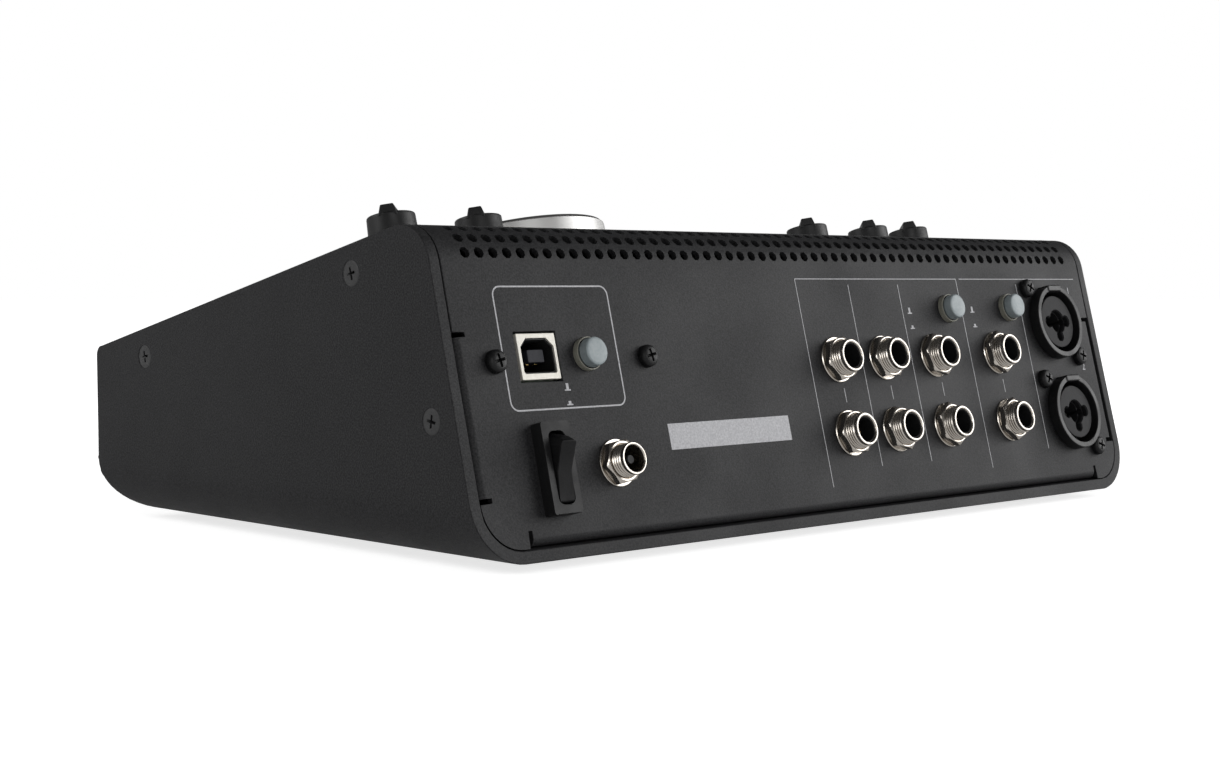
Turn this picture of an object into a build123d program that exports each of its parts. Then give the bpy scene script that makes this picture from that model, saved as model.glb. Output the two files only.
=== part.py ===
"""Desktop studio monitor controller: a wedge-shaped steel case with a volume knob, level knobs and
buttons on its sloping top, and the audio, data and power connectors on its leaning rear panel.

Millimetres, +Z up, front at -Y, rear panel at +Y. X = 0 is the middle of the case and Z = 0 is the
surface that the rubber feet stand on. Y = 0 is half way between the foremost and the rearmost fitting.
"""
from build123d import *
from math import cos, radians, sin, tan
import os

# ---------------------------------------------------------------- case
case_width = 263.0            # over both cheeks
case_depth = 167.0            # front face to the foot of the rear panel
front_edge_height = 45.2      # underside of the pan to the sharp front top edge
top_slope = 12.9              # degrees
rear_lean = 14.4              # degrees, the top of the rear panel leans to the front
front_bottom_radius = 15.0
front_top_radius = 3.0
rear_bend_radius = 11.0
pan_sheet = 3.0
pan_corner_radius = 13.8      # outside, between floor and cheeks
cover_sheet = 1.5
cover_gap = 0.3               # all round, between cover and pan

# flanges: the cover's edges are bent inwards where screws hold it
flange_depth = 12.0
flange_length = 37.0
flange_bend = 2.0             # outside radius
relief_width = 1.2            # slit at each end of a flange
floor_flange_length = case_width - 34.0
cheek_screw_front = (25.7, 43.3)     # from the front face, above the pan's underside
cheek_screw_top = (119.8, 65.5)
cheek_screw_rear = (149.9, 32.0)
cheek_screw_radius = 1.5
cheek_screw_head = 3.2
cheek_screw_length = 6.0
floor_screw_spacing = case_width / 2 - 41.5
floor_screw_inset = 9.0       # from the panel's foot

# feet
foot_height = 2.5
foot_radius = 8.0
foot_side_inset = 60.0
foot_end_inset = 30.0
foot_screw_radius = 1.5
foot_screw_head = 2.8
foot_screw_length = 5.0

# vents on the rear bend
vent_rows = 3
vent_pitch = 4.23
vent_margin = 8.8
vent_count = int((case_width - 2 * vent_margin) / vent_pitch)
vent_radius = 1.45
vent_rise = 2.0               # first row, along the bend from where it starts

# ----------------------------------------------- rear panel, u to the right and v up, seen from behind
right_side = case_width / 2
left_side = -case_width / 2
jack_columns = (right_side - 128.4, right_side - 108.3, right_side - 85.2, right_side - 55.3)
jack_rows = (23.7, 43.9)
jack_bore = 3.25
jack_chamber = 3.6            # wider, behind the bush
jack_rim = 4.2
jack_thread = 4.7
jack_proud = 6.0
jack_body_width = 15.0
jack_body_height = 14.0
jack_body_depth = 25.0
nut_across_flats = 11.0
nut_thickness = 2.3
washer_radius = 6.3
washer_thickness = 0.5

usb_place = (left_side + 27.7, 47.7)
usb_width = 12.0
usb_height = 11.0
usb_depth = 16.4
usb_mouth_width = 9.2
usb_mouth_height = 8.4
usb_mouth_chamfer = 1.8
usb_mouth_depth = 11.0
usb_tongue_width = 5.6
usb_tongue_height = 3.2
usb_clearance = 0.5

power_jack_place = (left_side + 46.9, 21.2)
power_jack_bore = 3.15
power_jack_thread = 4.0
power_jack_rim = 3.75
power_jack_proud = 6.3
power_jack_nut_flats = 10.0
power_jack_washer = 5.8
power_jack_body_radius = 5.4
power_jack_body_depth = 13.0
power_jack_pin = 1.0

switch_place = (left_side + 26.0, 20.9)
switch_width = 8.8
switch_height = 21.7
switch_proud = 3.6
switch_body_width = 7.8
switch_body_height = 19.6
switch_body_depth = 14.0
switch_lip = 1.2              # thickness of the bezel over the rocker's well
rocker_slot_width = 5.2
rocker_slot_corner = 1.6
rocker_slot_length = 17.2
rocker_well = 18.2
rocker_gap = 0.3
rocker_length = 16.2
rocker_corner = 2.2
rocker_radius = 8.4           # round the pivot, the rocker's ends
rocker_tilt = 16.0            # degrees to each side
rocker_pivot_depth = 2.5      # under the bezel's face
rocker_dip = 10.0             # degrees, each half of its face
rocker_waist = 3.4            # pivot to the middle of its face
rocker_pin_radius = 0.9
rocker_pin_gap = 0.06

push_places = (
    ("record_source_button", left_side + 43.0, 47.8),
    ("track_level_button", right_side - 74.8, 57.5),
    ("line_level_button", right_side - 45.1, 57.5),
)
push_radius = 3.6
push_proud = 4.2
push_travel = 2.0
push_dome = 0.5
collar_radius = 4.05
collar_proud = 1.5
push_gap = 0.15
push_switch_size = 8.5
push_switch_depth = 12.0
push_well = 5.5

combo_u = right_side - 23.5
combo_rows = (24.3, 52.5)
combo_ring = 11.3
combo_mouth = 9.6
combo_proud = 3.5
combo_insert = 8.1
combo_insert_recess = 1.2
combo_groove_depth = 13.0
combo_body_width = 24.0
combo_body_height = 26.0
combo_body_depth = 25.0
combo_bore_depth = 22.0
combo_contact_circle = 4.1
combo_contact_radius = 1.2
combo_screw = (10.4, 10.85)
panel_screw_head = 2.8
panel_screw_head_height = 2.3
panel_screw_radius = 1.4
panel_screw_length = 5.0
bracket_screw_columns = (left_side + 14.1, left_side + 62.7)
bracket_screw_v = 46.7

# ------------------------------------------------------- top panel, t up the slope from the front edge
knob_row = 105.7
knob_radius = 6.65
knob_top_radius = 6.2
knob_height = 11.7
knob_lift = 0.6
ridge_width = 5.0
ridge_height = 2.0
ridge_top_width = 3.4
shaft_radius = 3.0
shaft_grip = 8.0
phones_knob_row = 30.0
knob_places = (
    ("input_1_gain_knob", left_side + 26.3, knob_row),
    ("input_2_gain_knob", left_side + 47.0, knob_row),
    ("track_trim_knob", left_side + 76.5, knob_row),
    ("studio_level_knob", right_side - 55.2, knob_row),
    ("talkback_level_knob", right_side - 26.7, knob_row),
    ("phones_1_level_knob", left_side + 55.2, phones_knob_row),
    ("phones_2_level_knob", left_side + 26.7, phones_knob_row),
)
knob_rest_angle = 135.0       # degrees anticlockwise from twelve o'clock: fully down
volume_place = (17.0, 56.4)
volume_radius = 26.0
volume_top_radius = 24.6
volume_height = 20.0
volume_edge = 1.6
volume_lift = 0.8
volume_wall = 3.0
volume_shaft_radius = 3.0
volume_boss = 6.0
pot_size = 9.8
volume_pot_size = 16.0
pot_bush = 4.5
volume_nut_flats = 12.0

key_row = 70.0
key_places = (
    ("source_1_button", left_side + 26.5, key_row),
    ("source_2_button", left_side + 51.5, key_row),
    ("source_3_button", left_side + 76.5, key_row),
    ("mute_button", right_side - 41.0, 34.0),
    ("monitor_button", right_side - 55.2, key_row),
    ("talkback_button", right_side - 26.7, key_row),
)
key_width = 11.0
key_length = 7.0
key_corner = 1.5
key_proud = 2.6
key_gap = 0.35
key_travel = 1.0
key_edge = 0.6
lamp_radius = 1.5
lamp_offset = 9.0             # up the slope from its key
grille_place = (17.0, 112.0)
grille_hole = 0.8
grille_pitch = 2.6
capsule_radius = 4.9

# ---------------------------------------------------------------- front face
phones_columns = (left_side + 55.2, left_side + 26.7)
phones_proud = 4.0

# ---------------------------------------------------------------- inside
board = 1.6
board_edge = 1.0              # boards stop this short of the sheet
seat = 0.1                    # between the sheet and the bodies screwed to it
jack_board_span = (right_side - 139.5, right_side - 39.5)
lower_board_depth = 32.0
upper_board_depth = 48.0
switch_board_span = (right_side - 94.5, right_side - 39.5)
switch_board_depth = 30.0
input_board_size = (27.0, 54.0)
input_board_centre = 39.5
bracket_sheet = 1.2
bracket_depth = 24.0
bracket_tab = 10.0
header_thickness = 2.5
header_inset = 9.5
control_depth = 10.0          # top surface to the control board
control_board_size = (case_width - 27.0, case_depth - 59.0)
control_board_start = 16.0
post_radius = 2.5
key_switch_size = 6.0
key_switch_height = 3.0
standoff_height = 10.0
standoff_radius = 3.0
standoff_inset = 6.0
standoff_front = 24.0         # the first pair, behind the board's front edge
board_screw_length = 4.0
board_screw_head = 2.6
board_screw_head_height = 1.6
main_board_size = (case_width - 63.0, case_depth - 67.0)
main_board_start = 4.0        # from the front face
ribbon_thickness = 0.9
ribbon_width = 24.0
ribbon_bend = 3.0
ribbon_x = -20.0              # of the one up to the control board
ribbon_row = 78.0             # up the slope, where it meets the control board
parts = {}

# ---------------------------------------------------------------- worked out from the sizes above
lean_sin, lean_cos = sin(radians(rear_lean)), cos(radians(rear_lean))
slope_sin, slope_cos = sin(radians(top_slope)), cos(radians(top_slope))


def reach(v, proud, half_height):
    """How far a fitting on the rear panel sticks out behind the panel's foot."""
    return proud * lean_cos + (half_height - v) * lean_sin


rear_reach = max(
    0.0,
    reach(power_jack_place[1], power_jack_proud, power_jack_rim),
    reach(jack_rows[0], jack_proud, jack_rim),
    reach(combo_rows[0], combo_proud, combo_ring),
)
front_y = phones_proud - (phones_proud + case_depth + rear_reach) / 2
foot_y = front_y + case_depth
slope_rise = case_depth * slope_sin / slope_cos
corner_height = (front_edge_height + slope_rise) / (1 + slope_sin / slope_cos * lean_sin / lean_cos)
corner_y = foot_y - corner_height * lean_sin / lean_cos
cover_width = case_width - 2 * pan_sheet - 2 * cover_gap
cover_foot = pan_sheet + cover_gap       # lowest edge of the cover above the pan's underside

rear_face = Plane(origin=(0, foot_y, foot_height), x_dir=(-1, 0, 0), z_dir=(0, lean_cos, lean_sin))
top_face = Plane(
    origin=(0, front_y, foot_height + front_edge_height), x_dir=(1, 0, 0), z_dir=(0, -slope_sin, slope_cos)
)
front_face = Plane(origin=(0, front_y, foot_height), x_dir=(1, 0, 0), z_dir=(0, -1, 0))

# centre of the rear bend: the radius away from both the top and the rear panel
bend_half = radians(180 - 90 - top_slope + rear_lean) / 2
bend_reach = rear_bend_radius / sin(bend_half)
bend_bisector = radians((90 + top_slope + rear_lean) / 2)
bend_y = corner_y - bend_reach * cos(bend_bisector)
bend_z = foot_height + corner_height - bend_reach * sin(bend_bisector)


def on(plane, x, y, height=0.0, turn=0.0):
    """A plane parallel to the given one, with its origin at x, y on it and turned about its normal."""
    across = plane.x_dir.rotate(Axis((0, 0, 0), tuple(plane.z_dir)), turn)
    return Plane(origin=plane.from_local_coords((x, y, height)), x_dir=across, z_dir=plane.z_dir)


def keep(part, name):
    """Label a finished piece and put it on the list of pieces to write."""
    part.label = name
    parts[name] = part


def disc(plane, radius, start, end):
    """A round bar about the plane's normal from one height to another."""
    with BuildPart() as bar:
        with BuildSketch(plane.offset(start)):
            Circle(radius)
        extrude(amount=end - start)
    return bar.part


def block(plane, width, height, start, end, corner=0.0):
    """A square or round-cornered bar along the plane's normal from one height to another."""
    with BuildPart() as bar:
        with BuildSketch(plane.offset(start)):
            if corner:
                RectangleRounded(width, height, corner)
            else:
                Rectangle(width, height)
        extrude(amount=end - start)
    return bar.part


def group(solids):
    """Like pieces that share one node."""
    return Compound(children=list(solids))


# ---------------------------------------------------------------- outlines of the case
with BuildSketch(Plane.YZ) as side_outline:
    Polygon(
        (foot_y, foot_height),
        (front_y, foot_height),
        (front_y, foot_height + front_edge_height),
        (corner_y, foot_height + corner_height),
        align=None,
    )
    for corner, radius in (
        ((front_y, foot_height), front_bottom_radius),
        ((front_y, foot_height + front_edge_height), front_top_radius),
        ((corner_y, foot_height + corner_height), rear_bend_radius),
    ):
        fillet(side_outline.vertices().sort_by_distance((*corner, 0))[0], radius)

with BuildSketch(Plane.YZ) as cover_section:
    with BuildLine():
        outer = FilletPolyline(
            (front_y + front_bottom_radius + flange_depth / 2, foot_height + cover_foot),
            (front_y, foot_height + cover_foot),
            (front_y, foot_height + front_edge_height),
            (corner_y, foot_height + corner_height),
            (foot_y - cover_foot * lean_sin / lean_cos, foot_height + cover_foot),
            radius=[front_bottom_radius - cover_foot, front_top_radius, rear_bend_radius],
        )
        offset(outer, amount=cover_sheet, side=Side.RIGHT)
    make_face()


def channel(width, floor, radius):
    """A channel's outline from the front: flat floor, upright sides and round lower corners."""
    height = 2 * case_width
    with BuildSketch(Plane.XZ) as outline:
        with Locations((0, foot_height + floor + height / 2)):
            Rectangle(width, height)
        fillet(outline.vertices().group_by(Axis.Y)[0], radius)
    return outline.sketch


pan_outside = channel(case_width, 0, pan_corner_radius)
pan_inside = channel(case_width - 2 * pan_sheet, pan_sheet, pan_corner_radius - pan_sheet)
cover_outside = channel(cover_width, cover_foot, pan_corner_radius - pan_sheet - cover_gap)

cheek_screws = [
    (front_y + along, foot_height + height)
    for along, height in (cheek_screw_front, cheek_screw_top, cheek_screw_rear)
]
foot_places = [
    (side * (case_width / 2 - foot_side_inset), y)
    for side in (-1, 1)
    for y in (front_y + foot_end_inset, foot_y - foot_end_inset)
]
floor_screw_places = [
    (side * floor_screw_spacing, y)
    for side in (-1, 0, 1)
    for y in (front_y + front_bottom_radius, foot_y - floor_screw_inset)
]
main_board_y = front_y + main_board_start + main_board_size[1] / 2
standoff_places = [
    (x * (main_board_size[0] / 2 - standoff_inset), front_y + main_board_start + y)
    for x in (-1, 1)
    for y in (standoff_front, main_board_size[1] - standoff_inset)
]
post_places = [
    (x * (control_board_size[0] / 2 - standoff_inset), control_board_start + t)
    for x in (-1, 1)
    for t in (standoff_inset, control_board_size[1] - standoff_inset)
]
main_board_top = foot_height + pan_sheet + standoff_height + board
phones_height = main_board_top - foot_height + jack_body_height / 2

# ----------------------------------------------------- base pan: floor and both cheeks, one bent sheet
sink_bore = cheek_screw_radius + 0.1
sink_mouth = cheek_screw_head + 0.1
with BuildPart() as base_pan:
    extrude(side_outline.sketch, amount=case_width / 2, both=True)
    extrude(pan_outside, amount=case_depth, both=True, mode=Mode.INTERSECT)
    extrude(pan_inside, amount=case_depth, both=True, mode=Mode.SUBTRACT)
    for side in (-1, 1):
        cheek = Plane(origin=(side * case_width / 2, 0, 0), x_dir=(0, side, 0), z_dir=(side, 0, 0))
        with Locations(*[cheek.location * Location((side * y, z)) for y, z in cheek_screws]):
            CounterSinkHole(sink_bore, sink_mouth, depth=pan_sheet)
    underside = Plane.XY.offset(foot_height).rotated((180, 0, 0))
    sunk_places = floor_screw_places + standoff_places
    with Locations(*[underside.location * Location((x, -y)) for x, y in sunk_places]):
        CounterSinkHole(sink_bore, sink_mouth, depth=pan_sheet)
    with Locations(*[underside.location * Location((x, -y)) for x, y in foot_places]):
        Hole(radius=foot_screw_radius, depth=pan_sheet)
keep(base_pan.part, "base_pan")

# ------------------------------------------------ top cover: front, top and rear panel, one bent sheet
def bend_tangent(angle):
    """From a corner to where its outside radius starts, for two sheets that meet at this angle."""
    return flange_bend / tan(radians(angle) / 2)


def flange(plane, length, angle=90.0):
    """A strip bent inwards from a panel's edge. The plane lies on the outer surface with its origin
    on the edge, x along the edge and y pointing out over it."""
    start = bend_tangent(angle) + cover_sheet
    along = (-cos(radians(angle)), -sin(radians(angle)))
    across = (-sin(radians(angle)), cos(radians(angle)))
    tip = (along[0] * flange_depth, along[1] * flange_depth)
    inner = -cover_sheet / tan(radians(angle) / 2)
    with BuildPart() as strip:
        with BuildSketch(Plane(origin=plane.origin, x_dir=plane.y_dir, z_dir=plane.x_dir)) as section:
            Polygon(
                (-start, 0),
                (0, 0),
                tip,
                (tip[0] + across[0] * cover_sheet, tip[1] + across[1] * cover_sheet),
                (inner, -cover_sheet),
                (-start, -cover_sheet),
                align=None,
            )
            fillet(section.vertices().sort_by_distance((0, 0, 0))[0], flange_bend)
            inner_corner = section.vertices().sort_by_distance((inner, -cover_sheet, 0))[0]
            fillet(inner_corner, flange_bend - cover_sheet)
        extrude(amount=length / 2, both=True)
    return strip.part


def flange_cut(plane, length, angle=90.0):
    """What leaves the panel before a flange is bent: the width of the strip, with a slit at each end."""
    start = bend_tangent(angle) + cover_sheet
    return block(plane, length + 2 * relief_width, 2 * start, -2 * cover_sheet, cover_sheet)


side_flanges = []
rear_flange_v = cheek_screw_rear[1] / lean_cos + relief_width
for side in (-1, 1):
    side_flanges.append(Plane(
        origin=rear_face.from_local_coords((-side * cover_width / 2, rear_flange_v)),
        x_dir=rear_face.y_dir * side,
        z_dir=rear_face.z_dir,
    ))
    for along, _ in (cheek_screw_front, cheek_screw_top):
        side_flanges.append(Plane(
            origin=top_face.from_local_coords((side * cover_width / 2, along / slope_cos)),
            x_dir=top_face.y_dir * -side,
            z_dir=top_face.z_dir,
        ))
bottom_edge = Plane(
    origin=rear_face.from_local_coords((0, cover_foot / lean_cos)),
    x_dir=rear_face.x_dir * -1,
    z_dir=rear_face.z_dir,
)
jack_places = [(u, v) for v in jack_rows for u in jack_columns]
combo_places = [(combo_u, v) for v in combo_rows]
combo_screw_places = [
    (combo_u + side * combo_screw[0], v - side * combo_screw[1]) for v in combo_rows for side in (-1, 1)
]
bracket_screw_places = [(u, bracket_screw_v) for u in bracket_screw_columns]
grille_places = [grille_place]
for k in range(6):
    turn = radians(60 * k)
    x, t = grille_place
    grille_places.append((x + grille_pitch * cos(turn), t + grille_pitch * sin(turn)))
lamp_places = [(x, t + lamp_offset) for _, x, t in key_places]

with BuildPart() as top_cover:
    extrude(cover_section.sketch, amount=cover_width / 2, both=True)
    extrude(cover_outside, amount=case_depth, both=True, mode=Mode.INTERSECT)
    for edge in side_flanges:
        add(flange_cut(edge, flange_length), mode=Mode.SUBTRACT)
        add(flange(edge, flange_length))
    add(flange_cut(bottom_edge, floor_flange_length, 90 - rear_lean), mode=Mode.SUBTRACT)
    add(flange(bottom_edge, floor_flange_length, 90 - rear_lean))
    # rear panel
    with BuildSketch(rear_face):
        with Locations(*jack_places):
            Circle(jack_thread + seat)
        with Locations(*combo_places):
            Circle(combo_ring - 0.5)
        with Locations(*(combo_screw_places + bracket_screw_places)):
            Circle(panel_screw_radius + seat)
        with Locations(usb_place):
            Rectangle(usb_width + 2 * usb_clearance, usb_height + 2 * usb_clearance)
        with Locations(power_jack_place):
            Circle(power_jack_thread + seat)
        with Locations(switch_place):
            Rectangle(switch_body_width + 2 * seat, switch_body_height + 2 * seat)
        with Locations(*[(u, v) for _, u, v in push_places]):
            Circle(collar_radius + seat)
    extrude(amount=-2 * cover_sheet, mode=Mode.SUBTRACT)
    # top
    with BuildSketch(top_face):
        with Locations(*[(x, t) for _, x, t in knob_places]):
            Circle(pot_bush / 2 + 1.35)
        with Locations(volume_place):
            Circle(pot_bush + seat)
        with Locations(*[(x, t) for _, x, t in key_places]):
            RectangleRounded(key_width + 2 * key_gap, key_length + 2 * key_gap, key_corner + key_gap)
        with Locations(*lamp_places):
            Circle(lamp_radius + seat)
        with Locations(*grille_places):
            Circle(grille_hole)
    extrude(amount=-2 * cover_sheet, mode=Mode.SUBTRACT)
    # front
    with BuildSketch(front_face):
        with Locations(*[(x, phones_height) for x in phones_columns]):
            Circle(jack_thread + seat)
    extrude(amount=-2 * cover_sheet, mode=Mode.SUBTRACT)
    # screw holes in the flanges
    for side in (-1, 1):
        flange_face = Plane(origin=(side * cover_width / 2, 0, 0), x_dir=(0, side, 0), z_dir=(side, 0, 0))
        with BuildSketch(flange_face):
            with Locations(*[(side * y, z) for y, z in cheek_screws]):
                Circle(cheek_screw_radius + 0.05)
        extrude(amount=-2 * cover_sheet, mode=Mode.SUBTRACT)
    with BuildSketch(Plane.XY.offset(foot_height)):
        with Locations(*floor_screw_places):
            Circle(cheek_screw_radius + 0.05)
    extrude(amount=cover_foot + 2 * cover_sheet, mode=Mode.SUBTRACT)
    # vents round the bend
    for row in range(vent_rows):
        angle = radians(rear_lean) + (vent_rise + row * vent_pitch) / rear_bend_radius
        out = Plane(origin=(0, bend_y, bend_z), x_dir=(-1, 0, 0), z_dir=(0, cos(angle), sin(angle)))
        with BuildSketch(out.offset(rear_bend_radius - 2 * cover_sheet)):
            with GridLocations(vent_pitch, vent_pitch, vent_count, 1):
                RegularPolygon(vent_radius, 8, rotation=22.5)
        extrude(amount=3 * cover_sheet, mode=Mode.SUBTRACT)
keep(top_cover.part, "top_cover")

# ---------------------------------------------------------------- feet and fasteners
ground = Plane.XY
keep(group([
    disc(on(ground, x, y), foot_radius, 0, foot_height)
    - disc(on(ground, x, y), foot_screw_head + 0.2, 0, foot_height - 1)
    - disc(on(ground, x, y), foot_screw_radius + 0.05, 0, foot_height)
    for x, y in foot_places
]), "rubber_feet")


def pan_screw(plane, radius, length, head, head_height):
    """A pan-head screw: the plane lies under its head, with its normal out of the head."""
    return disc(plane, radius, -length, 0) + disc(plane, head, 0, head_height)


def flat_screw(plane):
    """A countersunk screw, flush with the plane that its head lies in."""
    with BuildPart() as screw:
        with BuildSketch(plane):
            Circle(cheek_screw_head)
        with BuildSketch(plane.offset(cheek_screw_radius - cheek_screw_head)):
            Circle(cheek_screw_radius)
        loft()
        with BuildSketch(plane.offset(cheek_screw_radius - cheek_screw_head)):
            Circle(cheek_screw_radius)
        extrude(amount=-(cheek_screw_length + cheek_screw_radius - cheek_screw_head))
    return screw.part


keep(group([
    pan_screw(Plane(origin=(x, y, foot_height - 1), z_dir=(0, 0, -1)), foot_screw_radius, foot_screw_length,
              foot_screw_head, 1.2)
    for x, y in foot_places
]), "foot_screws")
flat_screw_planes = [
    Plane(origin=(side * (case_width / 2 - 0.1), y, z), x_dir=(0, side, 0), z_dir=(side, 0, 0))
    for side in (-1, 1)
    for y, z in cheek_screws
]
flat_screw_planes += [
    Plane(origin=(x, y, foot_height + 0.1), z_dir=(0, 0, -1))
    for x, y in floor_screw_places + standoff_places
]
keep(group([flat_screw(plane) for plane in flat_screw_planes]), "countersunk_screws")
panel_screw = (panel_screw_radius, panel_screw_length, panel_screw_head, panel_screw_head_height)
keep(group([
    pan_screw(on(rear_face, u, v), *panel_screw) for u, v in combo_screw_places + bracket_screw_places
]), "panel_screws")

# ---------------------------------------------------------------- line and phones jacks
body_face = -cover_sheet - seat
nut_top = nut_thickness + washer_thickness
line_planes = [on(rear_face, u, v) for u, v in jack_places]
phones_planes = [on(front_face, x, phones_height) for x in phones_columns]


def jack_bush(plane, proud, turn):
    """A threaded bush with a slightly smaller rim, a notch in the rim and a plain bore."""
    bush = disc(plane, jack_thread, body_face, proud - 1.2) + disc(plane, jack_rim, proud - 1.2, proud)
    bush -= disc(plane, jack_bore, body_face, proud)
    notch = on(plane, jack_rim * cos(radians(turn)), jack_rim * sin(radians(turn)))
    return bush - block(notch, 1.2, 1.2, proud - 1, proud)


def hex_nut(plane, flats, bore, start, end, turn):
    """A hexagon nut turned about the plane's normal."""
    with BuildPart() as nut:
        with BuildSketch(plane.offset(start)):
            RegularPolygon(flats / 2, 6, major_radius=False, rotation=turn)
            Circle(bore, mode=Mode.SUBTRACT)
        extrude(amount=end - start)
        with BuildSketch(plane.offset(start)):
            Circle(flats / 2 * 1.12)
        extrude(amount=end - start, taper=0, mode=Mode.INTERSECT)
    return nut.part


def ring(plane, outer, inner, start, end):
    """A flat ring, as a washer."""
    return disc(plane, outer, start, end) - disc(plane, inner, start, end)


keep(group([
    jack_bush(plane, jack_proud, 90 + 37 * k) for k, plane in enumerate(line_planes)
]), "line_jack_bushes")
keep(group([jack_bush(plane, phones_proud, 90) for plane in phones_planes]), "phones_jack_bushes")
keep(group([
    block(plane, jack_body_width, jack_body_height, body_face - jack_body_depth, body_face)
    - disc(plane, jack_chamber, body_face - jack_body_depth + 2, body_face)
    for plane in line_planes + phones_planes
]), "jack_bodies")
keep(group([
    hex_nut(plane, nut_across_flats, jack_thread + 0.05, washer_thickness, nut_top, 17 * k)
    for k, plane in enumerate(line_planes + phones_planes)
]), "jack_nuts")
keep(group([
    ring(plane, washer_radius, jack_thread + 0.05, 0, washer_thickness)
    for plane in line_planes + phones_planes
]), "jack_washers")

# ---------------------------------------------------------------- USB socket
usb_plane = on(rear_face, *usb_place)


def usb_mouth(gap, start, end):
    """The mouth's shape: a rectangle with its two upper corners cut off."""
    half_width = usb_mouth_width / 2 - gap
    half_height = usb_mouth_height / 2 - gap
    with BuildPart() as mouth:
        with BuildSketch(usb_plane.offset(start)):
            Polygon(
                (-half_width, -half_height),
                (half_width, -half_height),
                (half_width, half_height - usb_mouth_chamfer),
                (half_width - usb_mouth_chamfer, half_height),
                (usb_mouth_chamfer - half_width, half_height),
                (-half_width, half_height - usb_mouth_chamfer),
                align=None,
            )
        extrude(amount=end - start)
    return mouth.part


usb_tube = block(usb_plane, usb_width, usb_height, -usb_depth, 0.2, 0.6)
keep(usb_tube - usb_mouth(0, -usb_depth, 0.2), "usb_shell")
keep(
    usb_mouth(0.05, -usb_depth, -usb_mouth_depth)
    + block(usb_plane, usb_tongue_width, usb_tongue_height, -usb_mouth_depth, -1.5),
    "usb_insert",
)
usb_board_top = usb_place[1] - usb_height / 2
usb_board_bottom = usb_board_top - board


def shelf(u_start, u_end, v_start, v_end, depth, front=-cover_sheet - board_edge):
    """A board square to the rear panel, from the panel inwards."""
    middle = on(rear_face, (u_start + u_end) / 2, (v_start + v_end) / 2)
    return block(middle, u_end - u_start, v_end - v_start, -depth, front)


tabs = group([
    block(on(rear_face, u, (usb_board_bottom - bracket_sheet + bracket_screw_v + 5) / 2), bracket_tab,
          bracket_screw_v + 5 - usb_board_bottom + bracket_sheet, body_face - bracket_sheet, body_face)
    - disc(on(rear_face, u, bracket_screw_v), panel_screw_radius + 0.05, -5, 0)
    for u, v in bracket_screw_places
])
bracket_left = bracket_screw_columns[0] - bracket_tab / 2
bracket_right = bracket_screw_columns[1] + bracket_tab / 2
bracket_bottom = usb_board_bottom - bracket_sheet
keep(
    shelf(bracket_left, bracket_right, bracket_bottom, usb_board_bottom, bracket_depth, body_face)
    + tabs.solids()[0] + tabs.solids()[1],
    "usb_bracket",
)
keep(
    shelf(bracket_left + 1, bracket_right - 1, usb_board_bottom, usb_board_top, bracket_depth + 1,
          body_face - bracket_sheet - 0.1),
    "usb_board",
)

# ---------------------------------------------------------------- power socket
power_plane = on(rear_face, *power_jack_place)
power_bush = disc(power_plane, power_jack_thread, body_face, power_jack_proud - 1)
power_bush += disc(power_plane, power_jack_rim, power_jack_proud - 1, power_jack_proud)
power_bush -= disc(power_plane, power_jack_bore, body_face, power_jack_proud)
power_bush -= block(on(power_plane, 0, power_jack_rim), 1, 1.2, power_jack_proud - 0.8, power_jack_proud)
keep(power_bush, "power_jack_bush")
keep(
    disc(power_plane, power_jack_body_radius, body_face - power_jack_body_depth, body_face)
    - disc(power_plane, power_jack_bore, body_face - power_jack_body_depth + 4, body_face)
    + disc(power_plane, power_jack_pin, body_face - power_jack_body_depth + 3, power_jack_proud - 1.5),
    "power_jack_body",
)
keep(group([
    ring(power_plane, power_jack_washer, power_jack_thread + 0.05, 0, washer_thickness),
    hex_nut(power_plane, power_jack_nut_flats, power_jack_thread + 0.05, washer_thickness, nut_top, 8),
]), "power_jack_nut")

# ---------------------------------------------------------------- power switch
switch_plane = on(rear_face, *switch_place)
switch_frame = block(switch_plane, switch_width, switch_height, 0, switch_proud, 0.8)
switch_frame += block(switch_plane, switch_body_width, switch_body_height, -switch_body_depth, 0)
well_floor = 1.5 - switch_body_depth
slot = (rocker_slot_width, rocker_slot_length)
switch_frame -= block(switch_plane, *slot, 0, switch_proud, rocker_slot_corner)
switch_frame -= block(switch_plane, rocker_slot_width, rocker_well, well_floor, switch_proud - switch_lip)
pivot = Plane(
    origin=switch_plane.from_local_coords((0, 0, switch_proud - rocker_pivot_depth)),
    x_dir=switch_plane.y_dir,
    z_dir=switch_plane.x_dir,
)
pin_end = rocker_slot_width / 2 + 0.6
switch_frame -= disc(pivot, rocker_pin_radius + rocker_pin_gap, -pin_end, pin_end)
keep(switch_frame, "power_switch_frame")
rocker_half = rocker_slot_width / 2 - rocker_gap
fall = tan(radians(rocker_dip))
with BuildPart() as power_rocker:
    with BuildSketch(pivot):
        Circle(rocker_radius)
        with BuildSketch(mode=Mode.INTERSECT):
            Polygon(
                (-12, -2.5),
                (12, -2.5),
                (12, rocker_waist + 12 * fall),
                (0, rocker_waist),
                (-12, rocker_waist + 12 * fall),
                align=None,
            )
    extrude(amount=rocker_half, both=True)
    with BuildSketch(switch_plane.offset(-switch_body_depth)):
        RectangleRounded(2 * rocker_half, rocker_length, rocker_corner)
    extrude(amount=2 * switch_body_depth, mode=Mode.INTERSECT)
    with BuildSketch(pivot):
        Circle(rocker_pin_radius)
    extrude(amount=rocker_slot_width / 2 + 0.3, both=True)
keep(power_rocker.part.rotate(Axis(pivot.origin, pivot.z_dir), rocker_tilt), "power_rocker")

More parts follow.
